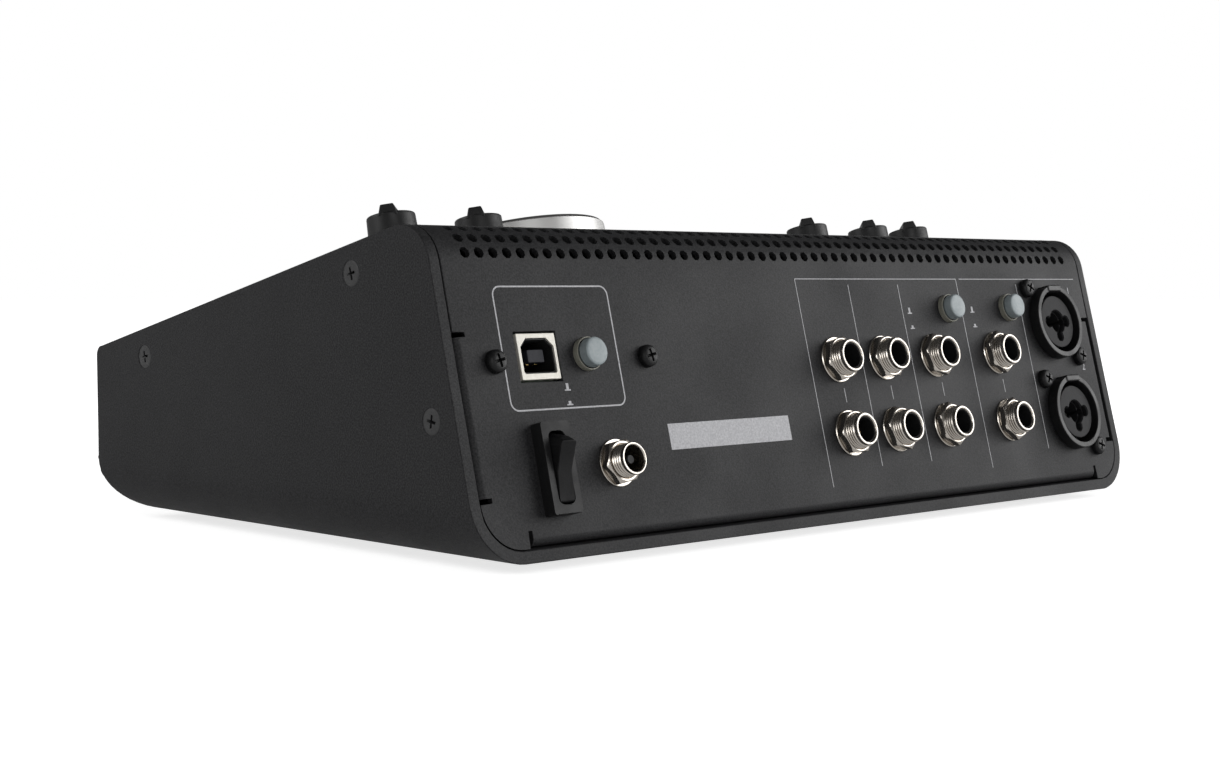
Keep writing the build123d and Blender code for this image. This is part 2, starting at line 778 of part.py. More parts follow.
# ---------------------------------------------------------------- push switches on the rear
collars = []
push_bodies = []
switch_board_bottom = jack_rows[1] + jack_body_height / 2
switch_board_top = switch_board_bottom + board
for name, u, v in push_places:
    plane = on(rear_face, u, v)
    cap = disc(plane, push_radius, -push_well + push_travel - 0.5, push_proud)
    circles = cap.edges().filter_by(GeomType.CIRCLE)
    rim = circles.sort_by(lambda edge: plane.to_local_coords(edge).center().Z)[-1]
    keep(cap.fillet(push_dome * 2, [rim]), name)
    collars.append(ring(plane, collar_radius, push_radius + push_gap, body_face, collar_proud))
    floor = usb_board_top if u < 0 else switch_board_top
    top = v + push_switch_size / 2
    middle = on(rear_face, u, (floor + top) / 2)
    housing = block(middle, push_switch_size, top - floor, body_face - push_switch_depth, body_face)
    push_bodies.append(housing - disc(plane, push_radius + 0.4, body_face - push_well, body_face))
keep(group(collars), "push_collars")
keep(group(push_bodies), "push_switches")

# ---------------------------------------------------------------- combo sockets
inserts = []
for index, v in enumerate(combo_rows):
    plane = on(rear_face, combo_u, v)
    socket = disc(plane, combo_ring, 0, combo_proud) + disc(plane, combo_ring - 0.8, body_face, 0)
    socket += block(plane, combo_body_width, combo_body_height, body_face - combo_body_depth, body_face)
    socket -= disc(plane, combo_mouth, combo_proud - combo_groove_depth, combo_proud)
    socket -= disc(plane, jack_chamber, combo_proud - combo_bore_depth, combo_proud)
    for side in (-1, 1):
        hole = on(plane, side * combo_screw[0], -side * combo_screw[1])
        socket -= disc(hole, panel_screw_radius + 0.05, -panel_screw_length - 1, combo_proud)
        socket -= disc(hole, panel_screw_head + 0.3, 0, combo_proud)
    keep(socket, "combo_socket_" + str(index + 1))
    insert = disc(plane, combo_insert, combo_proud - combo_groove_depth, combo_proud - combo_insert_recess)
    insert -= disc(plane, jack_bore, combo_proud - combo_groove_depth, combo_proud)
    for turn in (0, 180, 270):
        across = combo_contact_circle * cos(radians(turn))
        contact = on(plane, across, combo_contact_circle * sin(radians(turn)))
        insert -= disc(contact, combo_contact_radius, combo_proud - combo_groove_depth, combo_proud)
    inserts.append(insert)
keep(group(inserts), "combo_inserts")

# ---------------------------------------------------------------- boards behind the rear panel
lower_board_bottom = jack_rows[0] - jack_body_height / 2 - board
upper_board_bottom = jack_rows[1] - jack_body_height / 2 - board
lower_board_top = lower_board_bottom + board
upper_board_top = upper_board_bottom + board
keep(shelf(*jack_board_span, lower_board_bottom, lower_board_top, lower_board_depth), "lower_jack_board")
keep(shelf(*jack_board_span, upper_board_bottom, upper_board_top, upper_board_depth), "upper_jack_board")
keep(
    shelf(*switch_board_span, switch_board_bottom, switch_board_top, switch_board_depth),
    "level_switch_board",
)
combo_back = body_face - combo_body_depth
input_plane = on(rear_face, combo_u, input_board_centre)
keep(block(input_plane, *input_board_size, combo_back - board, combo_back), "input_board")
header_end = jack_columns[3] - header_inset
keep(group([
    shelf(jack_columns[0], header_end, lower_board_top, upper_board_bottom, lower_board_depth - 1,
          header_thickness - lower_board_depth),
    shelf(jack_columns[2] + header_inset, header_end, upper_board_top, switch_board_bottom,
          switch_board_depth - 1, header_thickness - switch_board_depth),
]), "board_headers")

# ---------------------------------------------------------------- main board on its standoffs
floor_plane = Plane.XY.offset(foot_height + pan_sheet)
main_board = block(on(floor_plane, 0, main_board_y, standoff_height), *main_board_size, 0, board)
for x, y in standoff_places:
    main_board -= disc(on(floor_plane, x, y), cheek_screw_radius + 0.1, 0, 2 * standoff_height)
keep(main_board, "main_board")
under_board = on(top_face, 0, control_board_start + control_board_size[1] / 2)
control_board = block(under_board, *control_board_size, -control_depth - board, -control_depth)
for x, t in post_places:
    control_board -= disc(on(top_face, x, t), cheek_screw_radius + 0.1, -2 * control_depth, 0)
keep(control_board, "control_board")
keep(group(
    [ring(on(floor_plane, x, y), standoff_radius, cheek_screw_radius + 0.05, 0, standoff_height)
     for x, y in standoff_places]
    + [disc(on(top_face, x, t), post_radius, -control_depth, -cover_sheet)
       - disc(on(top_face, x, t), cheek_screw_radius + 0.05, -control_depth, -control_depth + 5)
       for x, t in post_places]
), "board_standoffs")
screw_sizes = (cheek_screw_radius, board_screw_length, board_screw_head, board_screw_head_height)
screw_planes = [on(floor_plane, x, y, standoff_height + board) for x, y in standoff_places]
screw_planes += [
    Plane(origin=top_face.from_local_coords((x, t, -control_depth - board)), z_dir=top_face.z_dir * -1)
    for x, t in post_places
]
keep(group([pan_screw(plane, *screw_sizes) for plane in screw_planes]), "board_screws")

# ---------------------------------------------------------------- knobs
pots = []
for name, x, t in knob_places:
    plane = on(top_face, x, t)
    turned = on(top_face, x, t, 0, knob_rest_angle)
    with BuildPart() as knob:
        with BuildSketch(plane.offset(knob_lift)):
            Circle(knob_radius)
        with BuildSketch(plane.offset(knob_height)):
            Circle(knob_top_radius)
        loft()
        fillet(knob.edges().group_by(lambda edge: plane.to_local_coords(edge).center().Z)[-1], 0.5)
        ridge_foot = turned.from_local_coords((0, 0, knob_height - 1))
        with BuildSketch(Plane(origin=ridge_foot, x_dir=turned.x_dir * -1, z_dir=turned.y_dir)):
            Polygon(
                (-ridge_width / 2, 0),
                (ridge_width / 2, 0),
                (ridge_top_width / 2, ridge_height + 1),
                (-ridge_top_width / 2, ridge_height + 1),
                align=None,
            )
        extrude(amount=knob_top_radius - 0.5, both=True)
        with BuildSketch(plane.offset(knob_lift)):
            Circle(shaft_radius)
        extrude(amount=shaft_grip - knob_lift, mode=Mode.SUBTRACT)
    keep(group([knob.part, disc(plane, shaft_radius - 0.02, -2.8, shaft_grip)]), name)
    pots.append(
        block(plane, pot_size, pot_size, -control_depth, -3.1)
        + ring(plane, pot_bush / 2 + 1.25, shaft_radius + 0.05, -3.1, 0.2)
    )
keep(group(pots), "level_pots")
volume_plane = on(top_face, *volume_place)
with BuildPart() as volume_knob:
    with BuildSketch(volume_plane.offset(volume_lift)):
        Circle(volume_radius)
    with BuildSketch(volume_plane.offset(volume_lift + volume_height)):
        Circle(volume_top_radius)
    loft()
    crown = volume_knob.edges().group_by(lambda edge: volume_plane.to_local_coords(edge).center().Z)[-1]
    chamfer(crown, volume_edge / 2)
    with BuildSketch(volume_plane.offset(volume_lift)):
        Circle(volume_top_radius - volume_wall)
    extrude(amount=volume_height - volume_wall, mode=Mode.SUBTRACT)
    with BuildSketch(volume_plane.offset(volume_lift + 4)):
        Circle(volume_boss)
    extrude(amount=volume_height - volume_wall - 3)
    with BuildSketch(volume_plane.offset(volume_lift)):
        Circle(volume_shaft_radius)
    extrude(amount=volume_height - 4, mode=Mode.SUBTRACT)
keep(volume_knob.part, "volume_knob")
keep(disc(volume_plane, volume_shaft_radius - 0.02, -2.8, volume_height - 4), "volume_shaft")
keep(
    block(volume_plane, volume_pot_size, volume_pot_size, -control_depth, -3.1)
    + ring(volume_plane, pot_bush, volume_shaft_radius + 0.05, -3.1, 3.2),
    "volume_pot",
)
keep(hex_nut(volume_plane, volume_nut_flats, pot_bush + 0.05, 0, nut_thickness, 12), "volume_nut")

# ---------------------------------------------------------------- keys, lamps and microphone
key_switches = []
switch_top = key_switch_height - control_depth
for name, x, t in key_places:
    plane = on(top_face, x, t)
    key = block(plane, key_width, key_length, switch_top + 0.3 + key_travel, key_proud, key_corner)
    crown = key.edges().group_by(lambda edge: plane.to_local_coords(edge).center().Z)[-1]
    keep(key.chamfer(key_edge, None, crown), name)
    key_switches.append(block(plane, key_switch_size, key_switch_size, -control_depth, switch_top))
keep(group(key_switches), "key_switches")
keep(group([disc(on(top_face, x, t), lamp_radius, -control_depth, 0.4) for x, t in lamp_places]), "lamps")
capsule = disc(on(top_face, *grille_place), capsule_radius, -control_depth, body_face)
keep(capsule, "talkback_capsule")

# ---------------------------------------------------- ribbon cables, all in planes square to the front
ribbons = []


def ribbon(x, width, points):
    """A flat cable with a plug at each end, through these points in the Y-Z plane."""
    with BuildPart() as strip:
        with BuildSketch(Plane.YZ.offset(x)):
            with BuildLine():
                path = FilletPolyline(*points, radius=ribbon_bend)
                offset(path, amount=ribbon_thickness, side=Side.RIGHT)
            make_face()
        extrude(amount=width / 2, both=True)
    return strip.part


control_under = top_face.from_local_coords((0, ribbon_row, -control_depth - board))
ribbons.append(ribbon(ribbon_x, ribbon_width, [
    (control_under.Y - 6, main_board_top),
    (control_under.Y - 6, control_under.Z - 14),
    (control_under.Y + 1.2, control_under.Z - 7),
    (control_under.Y, control_under.Z),
]))
upper_back = rear_face.from_local_coords((0, upper_board_bottom, 3 - upper_board_depth))
ribbons.append(ribbon(-jack_columns[2], ribbon_width, [
    (main_board_y + main_board_size[1] / 2 - 6, main_board_top),
    (main_board_y + main_board_size[1] / 2 - 6, main_board_top + 8),
    (upper_back.Y, upper_back.Z - 6),
    (upper_back.Y, upper_back.Z),
]))
keep(group(ribbons), "ribbon_cables")

os.makedirs("parts", exist_ok=True)
for name, part in parts.items():
    export_step(part, "parts/" + name + ".step")
    box = part.bounding_box()
    corners = [round(value, 2) for value in (*box.min, *box.max)]
    print(name, round(part.volume, 1), corners, part.is_valid, len(part.solids()))
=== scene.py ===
"""Looks of the desktop studio monitor controller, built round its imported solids, in metres."""
from math import atan2, cos, pi, radians, sin

import bmesh
import bpy
from mathutils import Matrix, Vector


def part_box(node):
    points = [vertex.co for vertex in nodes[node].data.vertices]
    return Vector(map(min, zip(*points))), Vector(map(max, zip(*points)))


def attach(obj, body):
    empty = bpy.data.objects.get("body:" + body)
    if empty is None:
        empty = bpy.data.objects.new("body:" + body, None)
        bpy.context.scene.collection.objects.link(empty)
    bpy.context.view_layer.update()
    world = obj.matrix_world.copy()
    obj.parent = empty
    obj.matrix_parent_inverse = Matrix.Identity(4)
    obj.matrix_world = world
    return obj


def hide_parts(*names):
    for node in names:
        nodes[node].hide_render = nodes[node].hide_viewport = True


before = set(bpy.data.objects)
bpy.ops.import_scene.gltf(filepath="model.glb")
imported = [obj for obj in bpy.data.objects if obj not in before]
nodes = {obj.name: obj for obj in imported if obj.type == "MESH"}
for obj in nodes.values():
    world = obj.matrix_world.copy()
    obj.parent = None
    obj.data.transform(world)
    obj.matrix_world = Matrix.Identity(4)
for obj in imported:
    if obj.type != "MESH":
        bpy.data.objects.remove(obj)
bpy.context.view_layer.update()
mm = 0.001

# ------------------------------------------------------------------ camera
# A portrait lens behind the case and to its right-hand end, a little above the desk,
# so that the rear panel and one cheek show.
camera_place = Vector((407.6, 415.6, 66.1)) * mm
camera_way = Vector((-0.6892, -0.7227, -0.0520))
camera_data = bpy.data.cameras.new("camera")
camera_data.sensor_width = 36.0
camera_data.lens = 58.03
camera_data.clip_end = 20.0
camera = bpy.data.objects.new("camera", camera_data)
camera.rotation_euler = camera_way.to_track_quat("-Z", "Y").to_euler()
camera.location = camera_place
bpy.context.scene.collection.objects.link(camera)
bpy.context.scene.camera = camera
bpy.context.scene.view_settings.view_transform = "Standard"

# ------------------------------------------------------------------ studio
# A white sweep under a dark ceiling: the floor keeps a soft shadow, and turns to plain white
# away from the case. The main softbox stands low on the right of the rear panel, where the
# coating mirrors it, and a weaker one lights the cheek from the front.


def step(tree, kind, **sockets):
    """A new shader node, with values for its input sockets: From_Min sets "From Min"."""
    made = tree.nodes.new(kind)
    for socket, value in sockets.items():
        made.inputs[socket.replace("_", " ")].default_value = value
    return made


def wire(tree, *rows):
    """Links the output of one node to the input of another, one link for each row."""
    for source, output, target, socket in rows:
        tree.links.new(source.outputs[output], target.inputs[socket])


studio_world = bpy.data.worlds.new("studio")
bpy.context.scene.world = studio_world
studio_world.use_nodes = True
world_tree = studio_world.node_tree
world_tree.nodes.clear()
world_out = step(world_tree, "ShaderNodeOutputWorld")
surround = step(world_tree, "ShaderNodeBackground", Color=(1, 1, 1, 1))
world_rays = step(world_tree, "ShaderNodeLightPath")
world_way = step(world_tree, "ShaderNodeTexCoord")
world_height = step(world_tree, "ShaderNodeSeparateXYZ")
ceiling = step(world_tree, "ShaderNodeMapRange", From_Min=0.1, From_Max=0.45, To_Min=0.55,
               To_Max=0.05)
mirrored = step(world_tree, "ShaderNodeMix", A=0.16)
seen = step(world_tree, "ShaderNodeMath")
seen.operation = "MAXIMUM"
shown = step(world_tree, "ShaderNodeMix", B=1.0)
wire(
    world_tree,
    (world_way, "Generated", world_height, "Vector"),
    (world_height, "Z", ceiling, "Value"),
    (world_rays, "Is Glossy Ray", mirrored, "Factor"),
    (ceiling, "Result", mirrored, "B"),
    (world_rays, "Is Camera Ray", seen, 0),
    (world_rays, "Is Transmission Ray", seen, 1),
    (seen, "Value", shown, "Factor"),
    (mirrored, "Result", shown, "A"),
    (shown, "Result", surround, "Strength"),
    (surround, "Background", world_out, "Surface"),
)

floor_reach = 6.0
shadow_reach, white_reach = 0.2, 0.42
near_white, glossy_share = 0.76, 0.2
floor_mesh = bmesh.new()
bmesh.ops.create_grid(floor_mesh, x_segments=1, y_segments=1, size=floor_reach)
floor_data = bpy.data.meshes.new("studio_floor")
floor_mesh.to_mesh(floor_data)
floor_mesh.free()
studio_floor = bpy.data.objects.new("studio_floor", floor_data)
bpy.context.scene.collection.objects.link(studio_floor)
floor_paper = bpy.data.materials.new("floor_paper")
floor_paper.use_nodes = True
paper = floor_paper.node_tree
paper.nodes.clear()
paper_out = step(paper, "ShaderNodeOutputMaterial")
paper_sum = step(paper, "ShaderNodeAddShader")
paper_matt = step(paper, "ShaderNodeBsdfDiffuse", Color=(0.8, 0.8, 0.8, 1))
paper_glow = step(paper, "ShaderNodeEmission")
paper_rays = step(paper, "ShaderNodeLightPath")
paper_place = step(paper, "ShaderNodeTexCoord")
paper_distance = step(paper, "ShaderNodeVectorMath")
paper_distance.operation = "LENGTH"
paper_fade = step(paper, "ShaderNodeMapRange", From_Min=shadow_reach, From_Max=white_reach,
                  To_Min=near_white, To_Max=1.0)
paper_fade.interpolation_type = "SMOOTHSTEP"
paper_seen = step(paper, "ShaderNodeMath")
paper_seen.operation = "MULTIPLY_ADD"
paper_seen.inputs[1].default_value = glossy_share
paper_level = step(paper, "ShaderNodeMath")
paper_level.operation = "MULTIPLY"
wire(
    paper,
    (paper_place, "Object", paper_distance, 0),
    (paper_distance, "Value", paper_fade, "Value"),
    (paper_rays, "Is Glossy Ray", paper_seen, 0),
    (paper_rays, "Is Camera Ray", paper_seen, 2),
    (paper_seen, 0, paper_level, 0),
    (paper_fade, "Result", paper_level, 1),
    (paper_level, 0, paper_glow, "Strength"),
    (paper_matt, 0, paper_sum, 0),
    (paper_glow, 0, paper_sum, 1),
    (paper_sum, 0, paper_out, "Surface"),
)
studio_floor.data.materials.append(floor_paper)

for lamp_name, place, aim, width, height, watts in (
    ("panel_softbox", (-1.2, 1.0, 0.5), (0.0, 0.08, 0.04), 1.7, 1.0, 19.0),
    ("cheek_softbox", (1.4, -0.7, 0.9), (0.12, 0.0, 0.06), 0.9, 0.7, 11.0),
    ("camera_side_softbox", (0.9, 1.6, 0.7), (0.0, 0.05, 0.04), 0.8, 0.6, 6.0),
):
    lamp_data = bpy.data.lights.new(lamp_name, "AREA")
    lamp_data.shape = "RECTANGLE"
    lamp_data.size = width
    lamp_data.size_y = height
    lamp_data.energy = watts
    lamp = bpy.data.objects.new(lamp_name, lamp_data)
    lamp.location = place
    lamp.rotation_euler = (Vector(aim) - Vector(place)).to_track_quat("-Z", "Y").to_euler()
    bpy.context.scene.collection.objects.link(lamp)

# ------------------------------------------------------------------ base pan and top cover
# Two bent steel sheets: the pan is the floor with both cheeks, the cover is the front, top
# and rear panel. Both have a fine-grained charcoal powder coat, baked on after bending,
# which rounds every sheared edge a little.
weld_gap = 0.0005 * mm


def finish(name, color, rough, metal=0.0, specular=0.5):
    """A new material and its shader, with the plain values set on the shader's own sockets."""
    material = bpy.data.materials.new(name)
    material.use_nodes = True
    shader = material.node_tree.nodes["Principled BSDF"]
    shader.inputs["Base Color"].default_value = (*color, 1)
    shader.inputs["Roughness"].default_value = rough
    shader.inputs["Metallic"].default_value = metal
    shader.inputs["Specular IOR Level"].default_value = specular
    return material, shader


def speckle(material, shader, dark, light, grain, depth, share=(0.35, 0.7)):
    """Colour that varies between two tones, with bumps of the same grain. Grain and depth are
    in mm, and share is where on the noise the two tones begin."""
    tree = material.node_tree
    coords = step(tree, "ShaderNodeTexCoord")
    noise = step(tree, "ShaderNodeTexNoise", Scale=1 / (grain * mm), Detail=3.0)
    ramp = step(tree, "ShaderNodeValToRGB")
    for stop, position, color in zip(ramp.color_ramp.elements, share, (dark, light)):
        stop.position = position
        stop.color = (*color, 1)
    bump = step(tree, "ShaderNodeBump", Strength=0.5, Distance=depth * mm)
    wire(
        tree,
        (coords, "Object", noise, "Vector"),
        (noise, "Fac", ramp, "Fac"),
        (ramp, "Color", shader, "Base Color"),
        (noise, "Fac", bump, "Height"),
        (bump, "Normal", shader, "Normal"),
    )


def uneven_gloss(material, shader, low, high, patch):
    """Roughness that drifts between two values over patches of this size in mm."""
    tree = material.node_tree
    coords = step(tree, "ShaderNodeTexCoord")
    drift = step(tree, "ShaderNodeTexNoise", Scale=1 / (patch * mm), Detail=4.0)
    spread = step(tree, "ShaderNodeMapRange", From_Min=0.35, From_Max=0.65, To_Min=low,
                  To_Max=high)
    wire(
        tree,
        (coords, "Object", drift, "Vector"),
        (drift, "Fac", spread, "Value"),
        (spread, "Result", shader, "Roughness"),
    )


def piece(name, shape, material, body, stands_for=(), crease=38):
    """Makes a finished shape a piece of the object, riding on a body of the frame."""
    bmesh.ops.recalc_face_normals(shape, faces=shape.faces)
    data = bpy.data.meshes.new(name)
    shape.to_mesh(data)
    shape.free()
    data.materials.append(material)
    data.shade_smooth()
    data.set_sharp_from_angle(angle=radians(crease))
    made = bpy.data.objects.new(name, data)
    bpy.context.scene.collection.objects.link(made)
    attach(made, body)
    if stands_for:
        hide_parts(*stands_for)
    even = made.modifiers.new("even", "WEIGHTED_NORMAL")
    even.keep_sharp = True
    even.weight = 100


def softened(node_name, material, body, width, shortest=0.0, segments=2):
    """A copy of a solid with its sharp edges broken to this width in mm, standing for the solid.
    Edges shorter than the shortest, in mm, stay sharp."""
    flat_within, sharp_from = radians(0.5), radians(32)
    shape = bmesh.new()
    shape.from_mesh(nodes[node_name].data)
    bmesh.ops.remove_doubles(shape, verts=shape.verts, dist=weld_gap)
    bmesh.ops.dissolve_limit(shape, angle_limit=flat_within, verts=shape.verts,
                             edges=shape.edges)
    sharp = [
        edge for edge in shape.edges
        if edge.is_manifold and edge.calc_face_angle() > sharp_from
        and edge.calc_length() > shortest * mm
    ]
    bmesh.ops.bevel(shape, geom=sharp, offset=width * mm, offset_type="OFFSET", affect="EDGES",
                    segments=segments, profile=0.5, material=-1, clamp_overlap=False)
    piece(node_name + "_dressed", shape, material, body, [node_name])


powder_coat, powder_shader = finish("powder_coat", (0.02, 0.02, 0.021), 0.52, specular=0.16)
speckle(powder_coat, powder_shader, (0.013, 0.013, 0.014), (0.036, 0.036, 0.0375),
        grain=0.42, depth=0.07)
uneven_gloss(powder_coat, powder_shader, 0.48, 0.56, patch=24)
softened("base_pan", powder_coat, "case", width=0.3, shortest=1.2)
softened("top_cover", powder_coat, "case", width=0.2, shortest=3.0)

# ------------------------------------------------------------------ printing on the case
# Pale grey screen-printed ink, a few hundredths of a millimetre thick: frames and dividing
# lines round the sockets, marks for the push switches, scales round the knobs, and numbers.
# Each panel has its own measure: across from the middle of the case and up from its lower edge.
print_rise = 0.03
print_root = -0.03
rear_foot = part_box("base_pan")[1].y
front_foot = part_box("top_cover")[0].y
pan_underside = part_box("base_pan")[0].z
rear_lean = radians(14.4)
top_slope = radians(12.9)
front_height = 45.2 * mm
rear_panel = Matrix((
    (-1, 0, 0, 0),
    (0, -sin(rear_lean), cos(rear_lean), rear_foot),
    (0, cos(rear_lean), sin(rear_lean), pan_underside),
    (0, 0, 0, 1),
))
front_corner = Matrix.Translation((0, front_foot, pan_underside))
front_panel = front_corner @ Matrix.Rotation(pi / 2, 4, "X")
top_panel = (Matrix.Translation((0, front_foot, pan_underside + front_height))
             @ Matrix.Rotation(top_slope, 4, "X"))


def moved(place, x=0.0, y=0.0, z=0.0):
    """The place moved along its own axes, in mm."""
    return place @ Matrix.Translation((x * mm, y * mm, z * mm))


def at(panel, across, up, turn=0.0):
    """A place on a panel, in mm, turned in degrees about the panel's outward normal."""
    return moved(panel, across, up) @ Matrix.Rotation(radians(turn), 4, "Z")


def bar(shape, place, width, height, low=print_root, high=print_rise):
    """A rectangle in mm, centred on the place, from the low to the high level."""
    size = Matrix.Diagonal((width * mm, height * mm, (high - low) * mm, 1))
    block = moved(place, z=(low + high) / 2) @ size
    return bmesh.ops.create_cube(shape, size=1, matrix=block)["verts"]


def arc(shape, place, radius, start, sweep, width, steps=8):
    """A curved stroke in mm about the place, angles in degrees."""
    first = moved(place @ Matrix.Rotation(radians(start), 4, "Z"), x=radius)
    section = moved(first @ Matrix.Rotation(pi / 2, 4, "X"), y=(print_root + print_rise) / 2)
    size = Matrix.Diagonal((width / 2 * mm, (print_rise - print_root) / 2 * mm, 1, 1))
    made = bmesh.ops.create_grid(shape, x_segments=1, y_segments=1, size=1,
                                 matrix=section @ size)["verts"]
    corners = set(made)
    edges = [edge for edge in shape.edges if corners.issuperset(edge.verts)]
    faces = [face for face in shape.faces if corners.issuperset(face.verts)]
    axis = (place.to_3x3() @ Vector((0, 0, 1))).normalized()
    bmesh.ops.spin(shape, geom=made + edges + faces, cent=place.translation, axis=axis,
                   angle=radians(sweep), steps=steps, use_merge=False, use_duplicate=False)


def placed(shape, data, place):
    """Adds a mesh to the shape, moved to the place."""
    before = len(shape.verts)
    shape.from_mesh(data)
    shape.verts.ensure_lookup_table()
    bmesh.ops.transform(shape, matrix=place, verts=shape.verts[before:])


def numeral(shape, place, text, height):
    """A printed number in mm, centred on the place."""
    size_of_height = 1.38
    letters = bpy.data.curves.new("numeral", "FONT")
    letters.body = text
    letters.size = height * size_of_height * mm
    letters.align_x = "CENTER"
    letters.align_y = "CENTER"
    letters.resolution_u = 3
    letters.extrude = (print_rise - print_root) / 2 * mm
    source = bpy.data.objects.new("numeral", letters)
    data = bpy.data.meshes.new_from_object(source)
    placed(shape, data, place)
    bpy.data.objects.remove(source)
    bpy.data.curves.remove(letters)
    bpy.data.meshes.remove(data)


def push_mark(shape, place, out):
    """The usual sign for a push switch: a plate with a tall block for out, a low one for in."""
    plate_width, plate_height, block_width = 1.9, 0.32, 0.8
    block_height = 1.5 if out else 0.7
    bar(shape, place, plate_width, plate_height)
    bar(shape, moved(place, y=(plate_height + block_height) / 2), block_width, block_height)


ink, ink_shader = finish("printing_ink", (0.5, 0.5, 0.52), 0.6)
speckle(ink, ink_shader, (0.40, 0.40, 0.42), (0.56, 0.56, 0.58), grain=0.5, depth=0.01)

# The frame round the USB socket.
rear_prints = bmesh.new()
frame_left, frame_right, frame_low, frame_high = -114.5, -78.2, 35.1, 64.5
frame_round, frame_stroke = 2.2, 0.38
frame_width, frame_height = frame_right - frame_left, frame_high - frame_low
for v in (frame_low, frame_high):
    bar(rear_prints, at(rear_panel, (frame_left + frame_right) / 2, v),
        frame_width - 2 * frame_round, frame_stroke)
for u in (frame_left, frame_right):
    bar(rear_prints, at(rear_panel, u, (frame_low + frame_high) / 2), frame_stroke,
        frame_height - 2 * frame_round)
for u, v, start in (
    (frame_right - frame_round, frame_high - frame_round, 0),
    (frame_left + frame_round, frame_high - frame_round, 90),
    (frame_left + frame_round, frame_low + frame_round, 180),
    (frame_right - frame_round, frame_low + frame_round, 270),
):
    arc(rear_prints, at(rear_panel, u, v), frame_round, start, 90, frame_stroke)

# The lines between the columns of jacks, with a head line over each group.
head_line, line_stroke, line_gap = 66.4, 0.22, 1.6
group_starts = (-8.0, 63.5)
for u, low in ((-8.0, 9.7), (13.8, 14.0), (35.7, 13.9), (63.5, 10.2), (93.15, 14.2)):
    high = head_line if u in group_starts else head_line - line_gap
    bar(rear_prints, at(rear_panel, u, (low + high) / 2), line_stroke, high - low)
for start, end in ((-8.0, 63.5), (65.1, 124.8)):
    bar(rear_prints, at(rear_panel, (start + end) / 2, head_line), end - start, line_stroke)
for u in (3.9, 24.1, 47.4, 77.0):
    pair_line = at(rear_panel, u, 34.05)
    bar(rear_prints, pair_line, line_stroke, 3.9)

# The plain name bar, the marks of the push switches and the numbers of the combo sockets.
name_bar = at(rear_panel, -43.2, 26.45)
bar(rear_prints, name_bar, 44.6, 6.5)
for u, v, drop in ((-96.3, 39.4, 3.5), (38.9, 56.4, 4.4), (68.6, 56.4, 4.4)):
    push_mark(rear_prints, at(rear_panel, u, v), out=True)
    push_mark(rear_prints, at(rear_panel, u, v - drop), out=False)
for text, v in (("1", 62.4), ("2", 38.4)):
    numeral(rear_prints, at(rear_panel, 120.6, v), text, height=2.4)
piece("rear_printing", rear_prints, ink, "case")

# The scales of the knobs, and the numbers of the keys and phones jacks.
phones_columns = (-76.3, -104.8)
volume_spot = (17.0, 56.4)
level_row, phones_row = 105.7, 30.0
level_spots = {
    "input_1_gain": (-105.2, level_row), "input_2_gain": (-84.5, level_row),
    "track_trim": (-55.0, level_row), "studio_level": (76.3, level_row),
    "talkback_level": (104.8, level_row), "phones_1_level": (phones_columns[0], phones_row),
    "phones_2_level": (phones_columns[1], phones_row),
}
scale_marks, scale_start, scale_sweep = 11, 225, 270
level_ring, volume_ring, number_ring = 9.0, 29.4, 33.6
top_prints = bmesh.new()
for mark in range(scale_marks):
    angle = scale_start - mark * scale_sweep / (scale_marks - 1)
    for spot in level_spots.values():
        level_mark = moved(at(top_panel, *spot, angle), x=level_ring)
        bar(top_prints, level_mark, 1.5, 0.35)
    volume_mark = moved(at(top_panel, *volume_spot, angle), x=volume_ring)
    bar(top_prints, volume_mark, 2.2, 0.5)
    number_place = moved(at(top_panel, *volume_spot), number_ring * cos(radians(angle)),
                         number_ring * sin(radians(angle)))
    numeral(top_prints, number_place, str(mark), height=2.8)
for number, u in (("1", -105.0), ("2", -80.0), ("3", -55.0)):
    numeral(top_prints, at(top_panel, u, 63.0), number, height=2.6)
for number, u in zip("12", phones_columns):
    numeral(top_prints, at(front_panel, u, 34.0), number, height=2.6)
piece("top_printing", top_prints, ink, "case")

# ------------------------------------------------------------------ line and phones jacks
# Nickel-plated brass bushes with a fine thread and a turned-down rim, each clamped to its
# panel by a chamfered hexagon nut on a stamped washer.
nickel, nickel_shader = finish("nickel", (0.58, 0.54, 0.49), 0.26, metal=1.0)
speckle(nickel, nickel_shader, (0.54, 0.50, 0.45), (0.60, 0.56, 0.51), grain=6.0,
        depth=0.0002)
uneven_gloss(nickel, nickel_shader, 0.22, 0.28, patch=8.0)


def turned(shape, outline, place, steps=48):
    """Turns an outline of (radius, height) points in mm about the place's Z axis. One that
    starts on the axis also ends there, and any other is closed to a ring."""
    before = len(shape.verts)
    start = [shape.verts.new((radius * mm, 0, height * mm)) for radius, height in outline]
    edges = [shape.edges.new(pair) for pair in zip(start, start[1:])]
    if outline[0][0] > 0:
        edges.append(shape.edges.new((start[-1], start[0])))
    bmesh.ops.spin(shape, geom=start + edges, cent=(0, 0, 0), axis=(0, 0, 1), angle=2 * pi,
                   steps=steps, use_merge=True, use_duplicate=False)
    shape.verts.ensure_lookup_table()
    bmesh.ops.remove_doubles(shape, verts=shape.verts[before:], dist=weld_gap)
    shape.verts.ensure_lookup_table()
    made = shape.verts[before:]
    bmesh.ops.transform(shape, matrix=place, verts=made)
    return made


def thread(crest, root, low, high, pitch):
    """The outline of a thread between two heights, from the top down."""
    outline = []
    for turn in range(int((high - low) / pitch)):
        top = high - turn * pitch
        outline += [(root, top), (root, top - 0.12 * pitch), (crest, top - 0.45 * pitch),
                    (crest, top - 0.62 * pitch)]
    return outline


